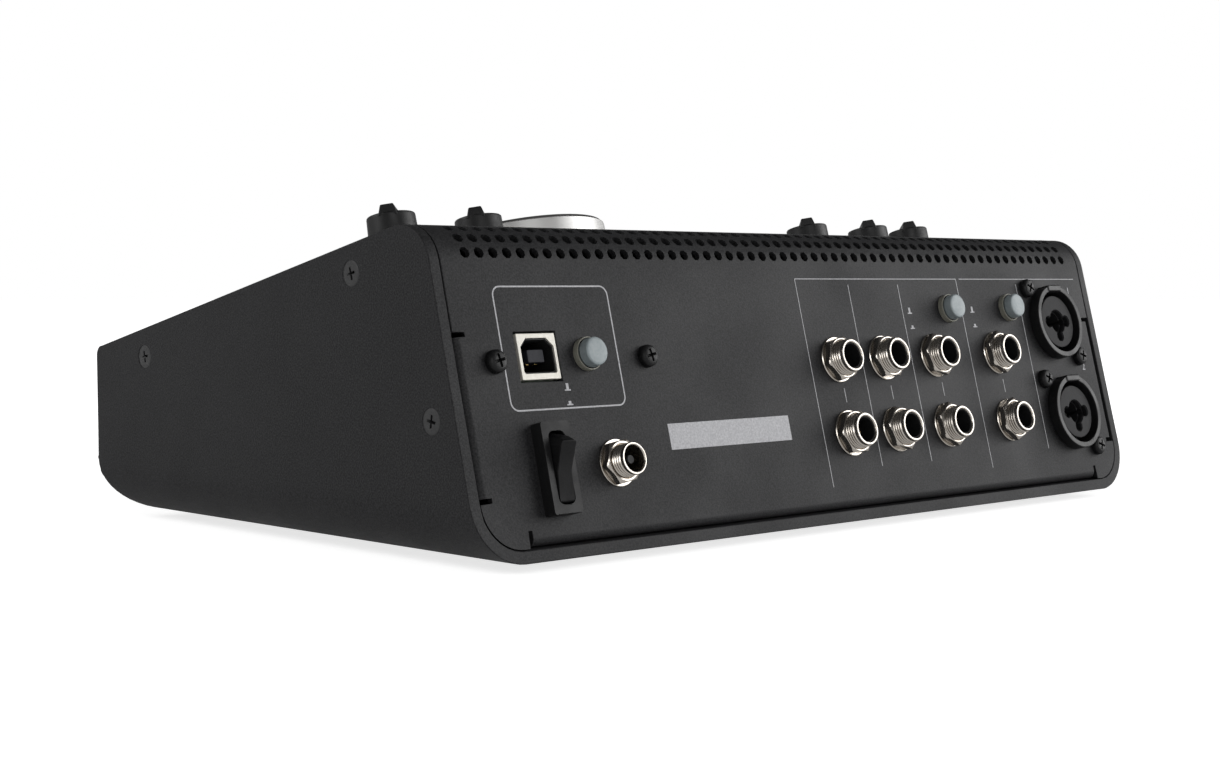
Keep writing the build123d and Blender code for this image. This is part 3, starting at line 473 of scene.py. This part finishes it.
def hexagon(shape, place, flats, bore, low, high, turn):
    """A nut turned with both faces chamfered, then brought in to its six flats."""
    rings, ring_in, ring_down = 4, 0.25, 0.12
    corner = flats / 2 / cos(pi / 6)
    chamfer = [(corner - ring_in * k, ring_down * (rings - k)) for k in range(rings + 1)]
    made = turned(shape, [
        (bore, low),
        *((radius, low + down) for radius, down in reversed(chamfer)),
        *((radius, high - down) for radius, down in chamfer),
        (bore + 0.35, high), (bore, high - 0.3),
    ], Matrix.Identity(4))
    for vert in made:
        angle = atan2(vert.co.y, vert.co.x) % (pi / 3) - pi / 6
        shrink = flats / 2 / cos(angle) * mm / vert.co.xy.length
        if shrink < 1:
            vert.co.x *= shrink
            vert.co.y *= shrink
    bmesh.ops.transform(shape, matrix=place @ Matrix.Rotation(radians(turn), 4, "Z"), verts=made)


jack_columns = (3.1, 23.2, 46.3, 76.2)
jack_rows = (23.7, 43.9)
jack_turn, nut_turn = 31, 17        # no two fittings stand at the same angle
line_places = []
for v in jack_rows:
    for u in jack_columns:
        line_places.append(at(rear_panel, u, v, jack_turn * len(line_places)))
phones_low, phones_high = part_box("phones_jack_bushes")
phones_height = ((phones_low + phones_high).z / 2 - pan_underside) / mm
phones_places = [at(front_panel, u, phones_height) for u in phones_columns]
line_proud, phones_proud = 6.0, 4.0
jack_bore, bush_bore = 3.25, 3.45   # inside and outside of the black lining that stands in for the shade in the bush's bore
thread_root, thread_crest, thread_pitch = 4.36, 4.7, 0.74
thread_foot, shoulder = 1.7, 1.5
rim_radius, rim_length = 4.4, 0.95
sheet_depth = -1.6
nut_bore, washer_top, nut_top = 4.75, 0.5, 2.8


def bush(shape, place, proud):
    """A threaded bush with a smooth rim and a broken inner edge."""
    rim_foot = proud - rim_length
    turned(shape, [
        (bush_bore, sheet_depth), (bush_bore, proud - 0.5), (bush_bore + 0.2, proud - 0.12),
        (bush_bore + 0.42, proud), (rim_radius - 0.28, proud), (rim_radius - 0.08, proud - 0.08),
        (rim_radius, proud - 0.28), (rim_radius, rim_foot),
        *thread(thread_crest, thread_root, thread_foot, rim_foot, thread_pitch),
        (thread_crest, shoulder), (thread_crest, sheet_depth),
    ], place)


line_bushes = bmesh.new()
phones_bushes = bmesh.new()
jack_nuts = bmesh.new()
jack_washers = bmesh.new()
for place in line_places:
    bush(line_bushes, place, line_proud)
for place in phones_places:
    bush(phones_bushes, place, phones_proud)
for k, place in enumerate(line_places + phones_places):
    hexagon(jack_nuts, place, 11.0, nut_bore, washer_top, nut_top, nut_turn * k)
    turned(jack_washers, [
        (nut_bore, 0), (6.25, 0), (6.3, 0.1), (6.3, 0.32), (6.1, washer_top),
        (nut_bore, washer_top),
    ], place)
piece("line_bushes_threaded", line_bushes, nickel, "case", ["line_jack_bushes"])
piece("phones_bushes_threaded", phones_bushes, nickel, "case",
      ["phones_jack_bushes"])
piece("jack_nuts_chamfered", jack_nuts, nickel, "case", ["jack_nuts"], crease=25)
piece("jack_washers_stamped", jack_washers, nickel, "case", ["jack_washers"])

# ------------------------------------------------------------------ inside of the jacks
# A black lining in each bush, nearly to its mouth, is painted shade: it stands in for the shade
# deep in the bore.
# A sprung bronze contact shows deep inside it.


def eased(shape, corners, width, segments=2):
    """Rounds every edge that runs between two of these corners to this width in mm."""
    corners = set(corners)
    edges = [edge for edge in shape.edges if corners.issuperset(edge.verts)]
    bmesh.ops.bevel(shape, geom=edges, offset=width * mm, affect="EDGES", segments=segments,
                    profile=0.5, material=-1)


lining_foot, lip_depth = -1.7, 0.5
leaf_radius, leaf_thickness, leaf_width, leaf_foot, leaf_tip = 2.9, 0.3, 1.3, -9.0, 1.0
jack_shade_linings = bmesh.new()
contact_springs = bmesh.new()
for k, place in enumerate(line_places + phones_places):
    lip = (line_proud if k < len(line_places) else phones_proud) - lip_depth
    turned(jack_shade_linings, [
        (jack_bore, lining_foot), (jack_bore, lip - 0.1), (jack_bore + 0.1, lip),
        (bush_bore, lip), (bush_bore, lining_foot),
    ], place)
    leaf = bar(contact_springs, moved(place, x=leaf_radius), leaf_thickness, leaf_width,
               leaf_foot, leaf_tip)
    eased(contact_springs, leaf, 0.1, segments=1)
spring_bronze, bronze_shader = finish("spring_bronze", (0.30, 0.22, 0.13), 0.35, metal=1.0)
speckle(spring_bronze, bronze_shader, (0.22, 0.16, 0.09), (0.34, 0.26, 0.16), grain=0.6,
        depth=0.002)
piece("jack_contact_springs", contact_springs, spring_bronze, "case")
moulding, moulding_shader = finish("black_moulding", (0.012, 0.012, 0.0125), 0.5,
                                   specular=0.25)
speckle(moulding, moulding_shader, (0.009, 0.009, 0.0095), (0.017, 0.017, 0.0175), grain=0.3,
        depth=0.01)
uneven_gloss(moulding, moulding_shader, 0.44, 0.58, patch=6)
# The linings are dark tubes that paint the shade inside the bores.
piece("jack_shade_linings", jack_shade_linings, moulding, "case")

# ------------------------------------------------------------------ power socket
# A threaded nickel bush with a bright rolled rim round a black socket with its centre pin,
# held by a thin chamfered nut on a washer.
power_place = at(rear_panel, -84.6, 21.2)
power_crest, power_root, power_nut_bore = 4.0, 3.64, 4.05
power_bush = bmesh.new()
turned(power_bush, [
    (3.15, sheet_depth), (3.15, 5.9), (3.3, 6.2), (3.45, 6.3), (3.75, 6.3), (3.88, 6.15),
    (3.88, 5.5), (3.7, 5.35), *thread(power_crest, power_root, 2.3, 5.3, thread_pitch),
    (power_crest, 2.1), (power_crest, sheet_depth),
], power_place)
piece("power_bush_threaded", power_bush, nickel, "case", ["power_jack_bush"])
power_nut = bmesh.new()
turned(power_nut, [
    (power_nut_bore, 0), (5.75, 0), (5.8, 0.1), (5.8, 0.35), (5.65, washer_top),
    (power_nut_bore, washer_top),
], power_place)
hexagon(power_nut, power_place, 10.0, power_nut_bore, washer_top, nut_top, turn=8)
piece("power_nut_chamfered", power_nut, nickel, "case", ["power_jack_nut"],
      crease=25)
softened("power_jack_body", moulding, "case", width=0.15, shortest=0.3)
pin_foot, pin_radius, pin_tip = -9.0, 1.02, 4.8
power_pin = bmesh.new()
turned(power_pin, [
    (0, pin_foot), (pin_radius, pin_foot), (pin_radius, 4.0), (0.8, 4.5), (0.35, 4.78),
    (0, pin_tip),
], power_place, steps=24)
piece("power_centre_pin", power_pin, nickel, "case")

# ------------------------------------------------------------------ screws
# Steel with cross recesses. Black-oxide pan heads hold the combo sockets and the USB
# bracket. Countersunk ones, blackened over zinc, hold the cover to the pan and carry the
# floor's pillars.


def cut_out(shape, tool):
    """Takes a closed shape away from another."""
    pair = []
    for name, source in (("kept", shape), ("taken", tool)):
        bmesh.ops.recalc_face_normals(source, faces=source.faces)
        data = bpy.data.meshes.new(name)
        source.to_mesh(data)
        pair.append(bpy.data.objects.new(name, data))
        bpy.context.scene.collection.objects.link(pair[-1])
    cutter = pair[0].modifiers.new("cut", "BOOLEAN")
    cutter.operation = "DIFFERENCE"
    cutter.solver = "EXACT"
    cutter.object = pair[1]
    bpy.context.view_layer.update()
    whole = pair[0].evaluated_get(bpy.context.evaluated_depsgraph_get())
    result = bpy.data.meshes.new_from_object(whole)
    shape.clear()
    shape.from_mesh(result)
    tool.free()
    bpy.data.meshes.remove(result)
    for spare in pair:
        bpy.data.meshes.remove(spare.data)


def screw(outline, top, reach, depth):
    """A screw turned from its outline, with a cross recess in its head that narrows inwards."""
    wing_width, narrowing, above = 0.8, 0.55, 0.5
    shape = bmesh.new()
    turned(shape, outline, Matrix.Identity(4), steps=28)
    for turn in (0, 90):
        recess = bmesh.new()
        wing = bar(recess, Matrix.Rotation(radians(turn), 4, "Z"), 2 * reach, wing_width,
                   top - depth, top + above)
        for vert in wing:
            if vert.co.z < (top - depth / 2) * mm:
                vert.co.x *= narrowing
                vert.co.y *= narrowing
        cut_out(shape, recess)
    data = bpy.data.meshes.new("screw")
    shape.to_mesh(data)
    shape.free()
    return data


def copies(data, places):
    """One shape with a copy of this mesh at each place."""
    shape = bmesh.new()
    for place in places:
        placed(shape, data, place)
    return shape


def loose_boxes(node_name):
    """The lowest and highest corner of each separate body in a solid of the frame."""
    shape = bmesh.new()
    shape.from_mesh(nodes[node_name].data)
    bmesh.ops.remove_doubles(shape, verts=shape.verts, dist=weld_gap)
    left = set(shape.verts)
    boxes = []
    while left:
        body, border = set(), [left.pop()]
        while border:
            vert = border.pop()
            body.add(vert)
            for edge in vert.link_edges:
                other = edge.other_vert(vert)
                if other in left:
                    left.remove(other)
                    border.append(other)
        low = Vector([min(vert.co[k] for vert in body) for k in range(3)])
        high = Vector([max(vert.co[k] for vert in body) for k in range(3)])
        boxes.append((low, high))
    shape.free()
    return boxes


def from_left(box):
    """Sorts boxes from the left cheek to the right one, and from the front to the back."""
    middle = (box[0] + box[1]) / 2
    return round(middle.x / (10 * mm)), middle.y


black_oxide, oxide_shader = finish("black_oxide", (0.009, 0.009, 0.0095), 0.42, specular=0.22)
speckle(black_oxide, oxide_shader, (0.006, 0.006, 0.0065), (0.013, 0.013, 0.0135), grain=0.35,
        depth=0.006)
uneven_gloss(black_oxide, oxide_shader, 0.34, 0.5, patch=1.5)
pan_top = 2.3
pan_head = screw([
    (0, pan_top), (1.2, 2.27), (2.0, 2.14), (2.5, 1.85), (2.74, 1.45), (2.8, 1.0), (2.8, 0.1),
    (2.7, 0), (1.4, 0), (1.4, -4.8), (1.1, -5.0), (0, -5.0),
], 2.25, reach=1.85, depth=1.5)
combo_column = 108.0
combo_rows = (24.3, 52.5)
combo_screw_across, combo_screw_up = 10.4, 10.85
pan_places = []
for v in combo_rows:
    for side in (-1, 1):
        pan_places.append(at(rear_panel, combo_column + side * combo_screw_across,
                             v - side * combo_screw_up, 20 + 50 * side))
for u in (-117.4, -68.8):
    pan_places.append(at(rear_panel, u, 46.7, 12))
piece("pan_head_screws", copies(pan_head, pan_places), black_oxide, "case",
      ["panel_screws"])

blackened, blackened_shader = finish("blackened_zinc", (0.022, 0.022, 0.023), 0.4)
speckle(blackened, blackened_shader, (0.016, 0.016, 0.017), (0.03, 0.03, 0.031), grain=0.35,
        depth=0.004)
uneven_gloss(blackened, blackened_shader, 0.32, 0.46, patch=1.5)
flat_head = screw([
    (0, 0), (2.7, 0), (3.08, -0.1), (3.15, -0.22), (1.5, -1.8), (1.5, -5.8), (1.2, -6.0),
    (0, -6.0),
], 0, reach=1.8, depth=1.3)
# Each screw stopped at its own turn, in degrees, from the left cheek to the right one.
stops = (37, 85, 83, 10, 33, 56, 79, 35, 58, 14, 60, 39, 62, 12, 16, 81)
flat_boxes = sorted(loose_boxes("countersunk_screws"), key=from_left)
flat_places = []
for stop, (low, high) in zip(stops, flat_boxes):
    middle, size = (low + high) / 2, high - low
    if abs(size.x - size.y) < abs(size.z - size.y):
        head, facing = (middle.x, middle.y, low.z), Matrix.Rotation(pi, 4, "X")
    elif middle.x > 0:
        head, facing = (high.x, middle.y, middle.z), Matrix.Rotation(pi / 2, 4, "Y")
    else:
        head, facing = (low.x, middle.y, middle.z), Matrix.Rotation(-pi / 2, 4, "Y")
    flat_places.append(Matrix.Translation(head) @ facing
                       @ Matrix.Rotation(radians(stop), 4, "Z"))
piece("flat_head_screws", copies(flat_head, flat_places), blackened, "case",
      ["countersunk_screws"])

# ------------------------------------------------------------------ USB socket
# A square type B receptacle: a pale tin-plated shell with the edge of its mouth broken, a
# black insert, and a grey tongue with four gilt contacts.
usb_place = at(rear_panel, -103.8, 47.7)
shell_front, insert_floor = 0.2, -11.4
mouth_side, mouth_rise, past_mouth = 5.15, 4.3, 0.6
mouth_corners = (
    (-4.75, -4.1), (4.75, -4.1), (5.15, -3.7), (5.15, 2.4), (3.15, 4.4), (-3.15, 4.4),
    (-5.15, 2.4), (-5.15, -3.7),
)


def mouth(shape, gap, low, high):
    """The socket's opening between two levels, smaller all round by the gap, in mm."""
    across, up = 1 - gap / mouth_side, 1 - gap / mouth_rise
    loop = [
        shape.verts.new(usb_place @ Vector((x * across * mm, y * up * mm, low * mm)))
        for x, y in mouth_corners
    ]
    end = bmesh.ops.contextual_create(shape, geom=loop)["faces"]
    risen = bmesh.ops.extrude_face_region(shape, geom=end, use_keep_orig=True)["geom"]
    rise = (usb_place.to_3x3() @ Vector((0, 0, 1))) * (high - low) * mm
    bmesh.ops.translate(shape, vec=rise,
                        verts=[part for part in risen if isinstance(part, bmesh.types.BMVert)])
    bmesh.ops.recalc_face_normals(shape, faces=shape.faces)


tin, tin_shader = finish("tin_plate", (0.70, 0.675, 0.61), 0.45, metal=0.2)
speckle(tin, tin_shader, (0.66, 0.635, 0.57), (0.73, 0.705, 0.645), grain=0.9, depth=0.004)
usb_shell = bmesh.new()
bar(usb_shell, usb_place, 12.0, 11.0, -16.4, shell_front)
eased(usb_shell, usb_shell.verts, 0.16)
opening = bmesh.new()
mouth(opening, 0, insert_floor, past_mouth)
cut_out(usb_shell, opening)
piece("usb_shell_folded", usb_shell, tin, "case", ["usb_shell"])
usb_lining = bmesh.new()
mouth(usb_lining, 0.03, insert_floor, -0.25)
opening = bmesh.new()
mouth(opening, 0.38, insert_floor + 0.4, past_mouth)
cut_out(usb_lining, opening)
piece("usb_lining", usb_lining, moulding, "case", ["usb_insert"])
tongue_plastic, tongue_shader = finish("tongue_plastic", (0.02, 0.021, 0.027), 0.55,
                                       specular=0.25)
speckle(tongue_plastic, tongue_shader, (0.016, 0.017, 0.023), (0.024, 0.025, 0.032),
        grain=0.5, depth=0.01)
tongue_tip = -1.35
tongue = bmesh.new()
bar(tongue, moved(usb_place, 0.5, 0.4), 5.1, 3.1, -11.1, tongue_tip)
eased(tongue, tongue.verts, 0.25)
piece("usb_tongue", tongue, tongue_plastic, "case")
gilt, gilt_shader = finish("gilt", (0.75, 0.52, 0.2), 0.3, metal=1.0)
speckle(gilt, gilt_shader, (0.68, 0.46, 0.17), (0.78, 0.56, 0.24), grain=0.5, depth=0.005)
contact_width, contact_thickness, contact_foot, contact_tip = 0.9, 0.16, -9.5, -3.4
usb_contacts = bmesh.new()
for x in (-0.8, 1.8):
    for y in (-1.16, 1.96):
        bar(usb_contacts, moved(usb_place, x, y), contact_width, contact_thickness,
            contact_foot, contact_tip)
piece("usb_contacts", usb_contacts, gilt, "case")

# ------------------------------------------------------------------ push switches on the rear
# Pale blue-grey caps with a nearly flat face and a broken edge, in beige guide collars that
# are moulded with the switch bodies.
cap_plastic, cap_shader = finish("cap_plastic", (0.27, 0.312, 0.325), 0.42)
cap_shader.inputs["Subsurface Weight"].default_value = 0.08
cap_shader.inputs["Subsurface Radius"].default_value = (0.001, 0.001, 0.001)
speckle(cap_plastic, cap_shader, (0.248, 0.29, 0.303), (0.292, 0.334, 0.347), grain=0.8,
        depth=0.008)
uneven_gloss(cap_plastic, cap_shader, 0.36, 0.5, patch=3)
collar_plastic, collar_shader = finish("collar_plastic", (0.27, 0.265, 0.225), 0.45)
speckle(collar_plastic, collar_shader, (0.24, 0.235, 0.195), (0.30, 0.295, 0.25), grain=0.7,
        depth=0.008)
cap_outline = (
    (0, 4.2), (1.8, 4.17), (2.8, 4.09), (3.18, 4.02), (3.36, 3.9), (3.45, 3.7), (3.6, 1.75),
    (3.5, 1.62), (3.1, 1.6), (3.1, -3.9), (0, -3.9),
)
collar_outline = (
    (3.75, sheet_depth), (3.75, 1.35), (3.82, 1.5), (3.95, 1.5), (4.05, 1.38),
    (4.05, sheet_depth),
)
collars = bmesh.new()
for node_name, body, u, v in (
    ("record_source_button", "record_source_push", -88.5, 47.8),
    ("track_level_button", "track_level_push", 56.7, 57.5),
    ("line_level_button", "line_level_push", 86.4, 57.5),
):
    place = at(rear_panel, u, v)
    cap = bmesh.new()
    turned(cap, cap_outline, place, steps=56)
    piece(node_name + "_cap", cap, cap_plastic, body, [node_name], crease=36)
    turned(collars, collar_outline, place, steps=56)
piece("push_collars_turned", collars, collar_plastic, "case",
      ["push_collars"])

# ------------------------------------------------------------------ power switch
# A black moulded bezel with square edges, and a rocker with a hollow face that tips on its
# pin. The nearly round end of the rocker shows above the slot.
rocker_plastic, rocker_shader = finish("rocker_plastic", (0.007, 0.007, 0.0075), 0.6,
                                       specular=0.14)
speckle(rocker_plastic, rocker_shader, (0.005, 0.005, 0.0055), (0.01, 0.01, 0.0105),
        grain=0.3, depth=0.012)
uneven_gloss(rocker_plastic, rocker_shader, 0.54, 0.66, patch=5)
softened("power_switch_frame", moulding, "case", width=0.22, shortest=0.3)
softened("power_rocker", rocker_plastic, "rocker", width=0.3, shortest=0.45,
         segments=3)

# ------------------------------------------------------------------ combo sockets
# Black glass-filled nylon rings with a deep groove round a fixed insert with the jack bore
# and three contact holes, and a release tab of the same nylon at the top of each ring.
nylon, nylon_shader = finish("black_nylon", (0.011, 0.011, 0.0115), 0.42, specular=0.32)
speckle(nylon, nylon_shader, (0.008, 0.008, 0.0085), (0.015, 0.015, 0.0155), grain=0.28,
        depth=0.012)
uneven_gloss(nylon, nylon_shader, 0.36, 0.5, patch=5)
insert_nylon, insert_shader = finish("insert_nylon", (0.012, 0.012, 0.013), 0.58,
                                     specular=0.17)
speckle(insert_nylon, insert_shader, (0.009, 0.009, 0.01), (0.018, 0.018, 0.0195),
        grain=0.35, depth=0.018)
for socket in ("combo_socket_1", "combo_socket_2"):
    softened(socket, nylon, "case", width=0.3, shortest=0.3, segments=3)
face_outline = ((0, 2.3), (7.75, 2.3), (8.0, 2.2), (8.1, 1.95), (8.1, -9.5), (0, -9.5))
hole_mouth, hole_step = 0.65, 0.25
combo_faces = bmesh.new()
for v in combo_rows:
    face = bmesh.new()
    turned(face, face_outline, Matrix.Identity(4), steps=64)
    for x, y, radius in ((0, 0, 3.5), (-4.5, 0, 1.6), (4.5, 0, 1.6), (0, -4.5, 1.5)):
        drill = bmesh.new()
        turned(drill, [
            (0, 2.8), (radius + hole_mouth, 2.8), (radius, 1.9), (radius, 0.5),
            (radius - hole_step, 0.4), (radius - hole_step, -9.8), (0, -9.8),
        ], moved(Matrix.Identity(4), x, y), steps=40)
        cut_out(face, drill)
    drilled = bpy.data.meshes.new("combo_face")
    face.to_mesh(drilled)
    face.free()
    placed(combo_faces, drilled, at(rear_panel, combo_column, v))
piece("combo_faces_drilled", combo_faces, insert_nylon, "case",
      ["combo_inserts"], crease=30)
tab_up, tab_width, tab_height, tab_foot, tab_top = 10.2, 7.0, 1.9, -1.0, 3.8
release_tabs = bmesh.new()
for v in combo_rows:
    tab = bar(release_tabs, at(rear_panel, combo_column, v + tab_up), tab_width, tab_height,
              tab_foot, tab_top)
    eased(release_tabs, tab, 0.45, segments=3)
piece("combo_release_tabs", release_tabs, nylon, "case")

# ------------------------------------------------------------------ level knobs
# Black moulded knobs with a raised ridge across the top and a white line pressed into the
# ridge's pointing end. Each is pushed onto the shaft of its potentiometer.
knob_plastic, knob_shader = finish("knob_plastic", (0.010, 0.010, 0.0105), 0.46,
                                   specular=0.35)
speckle(knob_plastic, knob_shader, (0.007, 0.007, 0.0075), (0.014, 0.014, 0.0145),
        grain=0.22, depth=0.01)
uneven_gloss(knob_plastic, knob_shader, 0.4, 0.54, patch=4)
pointer_paint, pointer_shader = finish("pointer_paint", (0.75, 0.75, 0.74), 0.5)
speckle(pointer_paint, pointer_shader, (0.68, 0.68, 0.67), (0.78, 0.78, 0.77), grain=0.3,
        depth=0.005)
zero_turn = 135                     # the ridge then points at the scale's first mark
knob_outline = (
    (0, 11.7), (5.6, 11.7), (5.95, 11.6), (6.15, 11.4), (6.22, 11.1), (6.62, 1.0), (6.6, 0.7),
    (6.45, 0.6), (2.98, 0.6), (2.98, -2.8), (0, -2.8),
)
ridge_width, ridge_length, ridge_foot, ridge_top = 5.0, 12.1, 10.7, 13.66
crown_width, crown_length = 0.66, 0.94
for body, spot in level_spots.items():
    knob_place = at(top_panel, *spot, zero_turn)
    knob = bmesh.new()
    turned(knob, knob_outline, knob_place, steps=56)
    ridge = bar(knob, knob_place, ridge_width, ridge_length, ridge_foot, ridge_top)
    for vert in ridge:
        across, along, height = knob_place.inverted() @ vert.co
        if height > (ridge_foot + ridge_top) / 2 * mm:
            vert.co = knob_place @ Vector((across * crown_width, along * crown_length, height))
    eased(knob, ridge, 0.3, segments=3)
    piece(body + "_knob_moulded", knob, knob_plastic, body, [body + "_knob"])
    line = bmesh.new()
    bar(line, moved(knob_place, y=3.0), 0.8, 4.8, 13.5, ridge_top + 0.03)
    piece(body + "_pointer", line, pointer_paint, body)

# ------------------------------------------------------------------ volume knob
# Solid aluminium, turned and satin anodised, with fine rings from the tool on its top and
# round its side, a chamfer at the edge, and a black pointer line.
anodised, anodised_shader = finish("satin_anodising", (0.56, 0.555, 0.545), 0.4, metal=1.0)
anodised_shader.inputs["Anisotropic"].default_value = 0.4
turning = anodised.node_tree
turning_coords = step(turning, "ShaderNodeTexCoord")
centred = step(turning, "ShaderNodeMapping")
centred.vector_type = "TEXTURE"
centred.inputs["Location"].default_value = at(top_panel, *volume_spot).translation
centred.inputs["Rotation"].default_value = (top_slope, 0, 0)
rings = step(turning, "ShaderNodeTexWave", Scale=0.35 / mm, Distortion=0.6)
rings.wave_type = "RINGS"
rings.rings_direction = "Z"
rounds = step(turning, "ShaderNodeTexWave", Scale=0.5 / mm, Distortion=0.4)
rounds.wave_type = "BANDS"
rounds.bands_direction = "Z"
both_cuts = step(turning, "ShaderNodeMath")
both_cuts.operation = "ADD"
tool_marks = step(turning, "ShaderNodeBump", Strength=0.25, Distance=0.01 * mm)
wire(
    turning,
    (turning_coords, "Object", centred, "Vector"),
    (centred, "Vector", rings, "Vector"),
    (centred, "Vector", rounds, "Vector"),
    (rings, "Fac", both_cuts, 0),
    (rounds, "Fac", both_cuts, 1),
    (both_cuts, 0, tool_marks, "Height"),
    (tool_marks, "Normal", anodised_shader, "Normal"),
)
uneven_gloss(anodised, anodised_shader, 0.37, 0.46, patch=12)
big_knob = bmesh.new()
turned(big_knob, [
    (0, 20.35), (23.4, 20.35), (23.55, 20.5), (23.6, 20.8), (23.75, 20.8), (24.55, 20.0),
    (24.62, 19.75), (25.9, 1.2), (25.8, 0.8), (21.6, 0.8), (21.6, 17.6), (6.0, 17.6),
    (6.0, 4.8), (3.0, 4.8), (3.0, 16.8), (0, 16.8),
], at(top_panel, *volume_spot), steps=128)
piece("volume_knob_turned", big_knob, anodised, "volume", ["volume_knob"],
      crease=25)
pointer_black, black_shader = finish("pointer_black", (0.02, 0.02, 0.02), 0.5)
speckle(pointer_black, black_shader, (0.015, 0.015, 0.015), (0.028, 0.028, 0.028), grain=0.3,
        depth=0.005)
volume_pointer = bmesh.new()
bar(volume_pointer, moved(at(top_panel, *volume_spot, zero_turn), y=18.0), 1.2, 8.0, 20.3,
    20.4)
piece("volume_pointer", volume_pointer, pointer_black, "volume")

# ------------------------------------------------------------------ keys and lamps on the top
# Soft pale keys in their cut-outs, and a small tinted lens beside each key.
for key in ("source_1", "source_2", "source_3", "mute", "monitor", "talkback"):
    softened(key + "_button", cap_plastic, key + "_key", width=0.2)
lens, lens_shader = finish("red_lens", (0.35, 0.03, 0.02), 0.15)
lens_shader.inputs["Transmission Weight"].default_value = 0.4
speckle(lens, lens_shader, (0.32, 0.025, 0.018), (0.38, 0.035, 0.024), grain=1.5, depth=0.004)
softened("lamps", lens, "case", width=0.25, segments=3)

# ------------------------------------------------------------------ feet
# Round rubber feet screwed to the pan, with a soft outer edge and a recess for the screw.
rubber, rubber_shader = finish("black_rubber", (0.018, 0.018, 0.018), 0.75)
speckle(rubber, rubber_shader, (0.012, 0.012, 0.012), (0.026, 0.026, 0.026), grain=0.6,
        depth=0.03)
softened("rubber_feet", rubber, "case", width=0.3, shortest=0.4)

# ------------------------------------------------------------------ parts inside the case
# Seen through the vents only: green boards with copper under the solder mask, bare or zinc
# steel brackets and pillars, black switch and jack bodies, and grey ribbon cables.
solder_mask, mask_shader = finish("solder_mask", (0.02, 0.12, 0.05), 0.35)
speckle(solder_mask, mask_shader, (0.012, 0.09, 0.035), (0.03, 0.15, 0.06), grain=2.2,
        depth=0.03, share=(0.46, 0.5))
zinc, zinc_shader = finish("zinc_plate", (0.55, 0.55, 0.54), 0.35, metal=1.0)
speckle(zinc, zinc_shader, (0.48, 0.48, 0.47), (0.62, 0.62, 0.60), grain=1.5, depth=0.01)
ribbon_grey, ribbon_shader = finish("ribbon_insulation", (0.28, 0.28, 0.27), 0.5)
speckle(ribbon_grey, ribbon_shader, (0.25, 0.25, 0.24), (0.31, 0.31, 0.30), grain=0.6,
        depth=0.02)
inside_finish = {
    "usb_bracket": zinc, "board_standoffs": zinc, "board_screws": zinc, "foot_screws": zinc,
    "volume_shaft": zinc, "volume_nut": nickel, "ribbon_cables": ribbon_grey,
}
for node_name in nodes:
    if nodes[node_name].hide_render:
        continue
    look = solder_mask if node_name.endswith("_board") else inside_finish.get(node_name, moulding)
    nodes[node_name].data.materials.clear()
    nodes[node_name].data.materials.append(look)
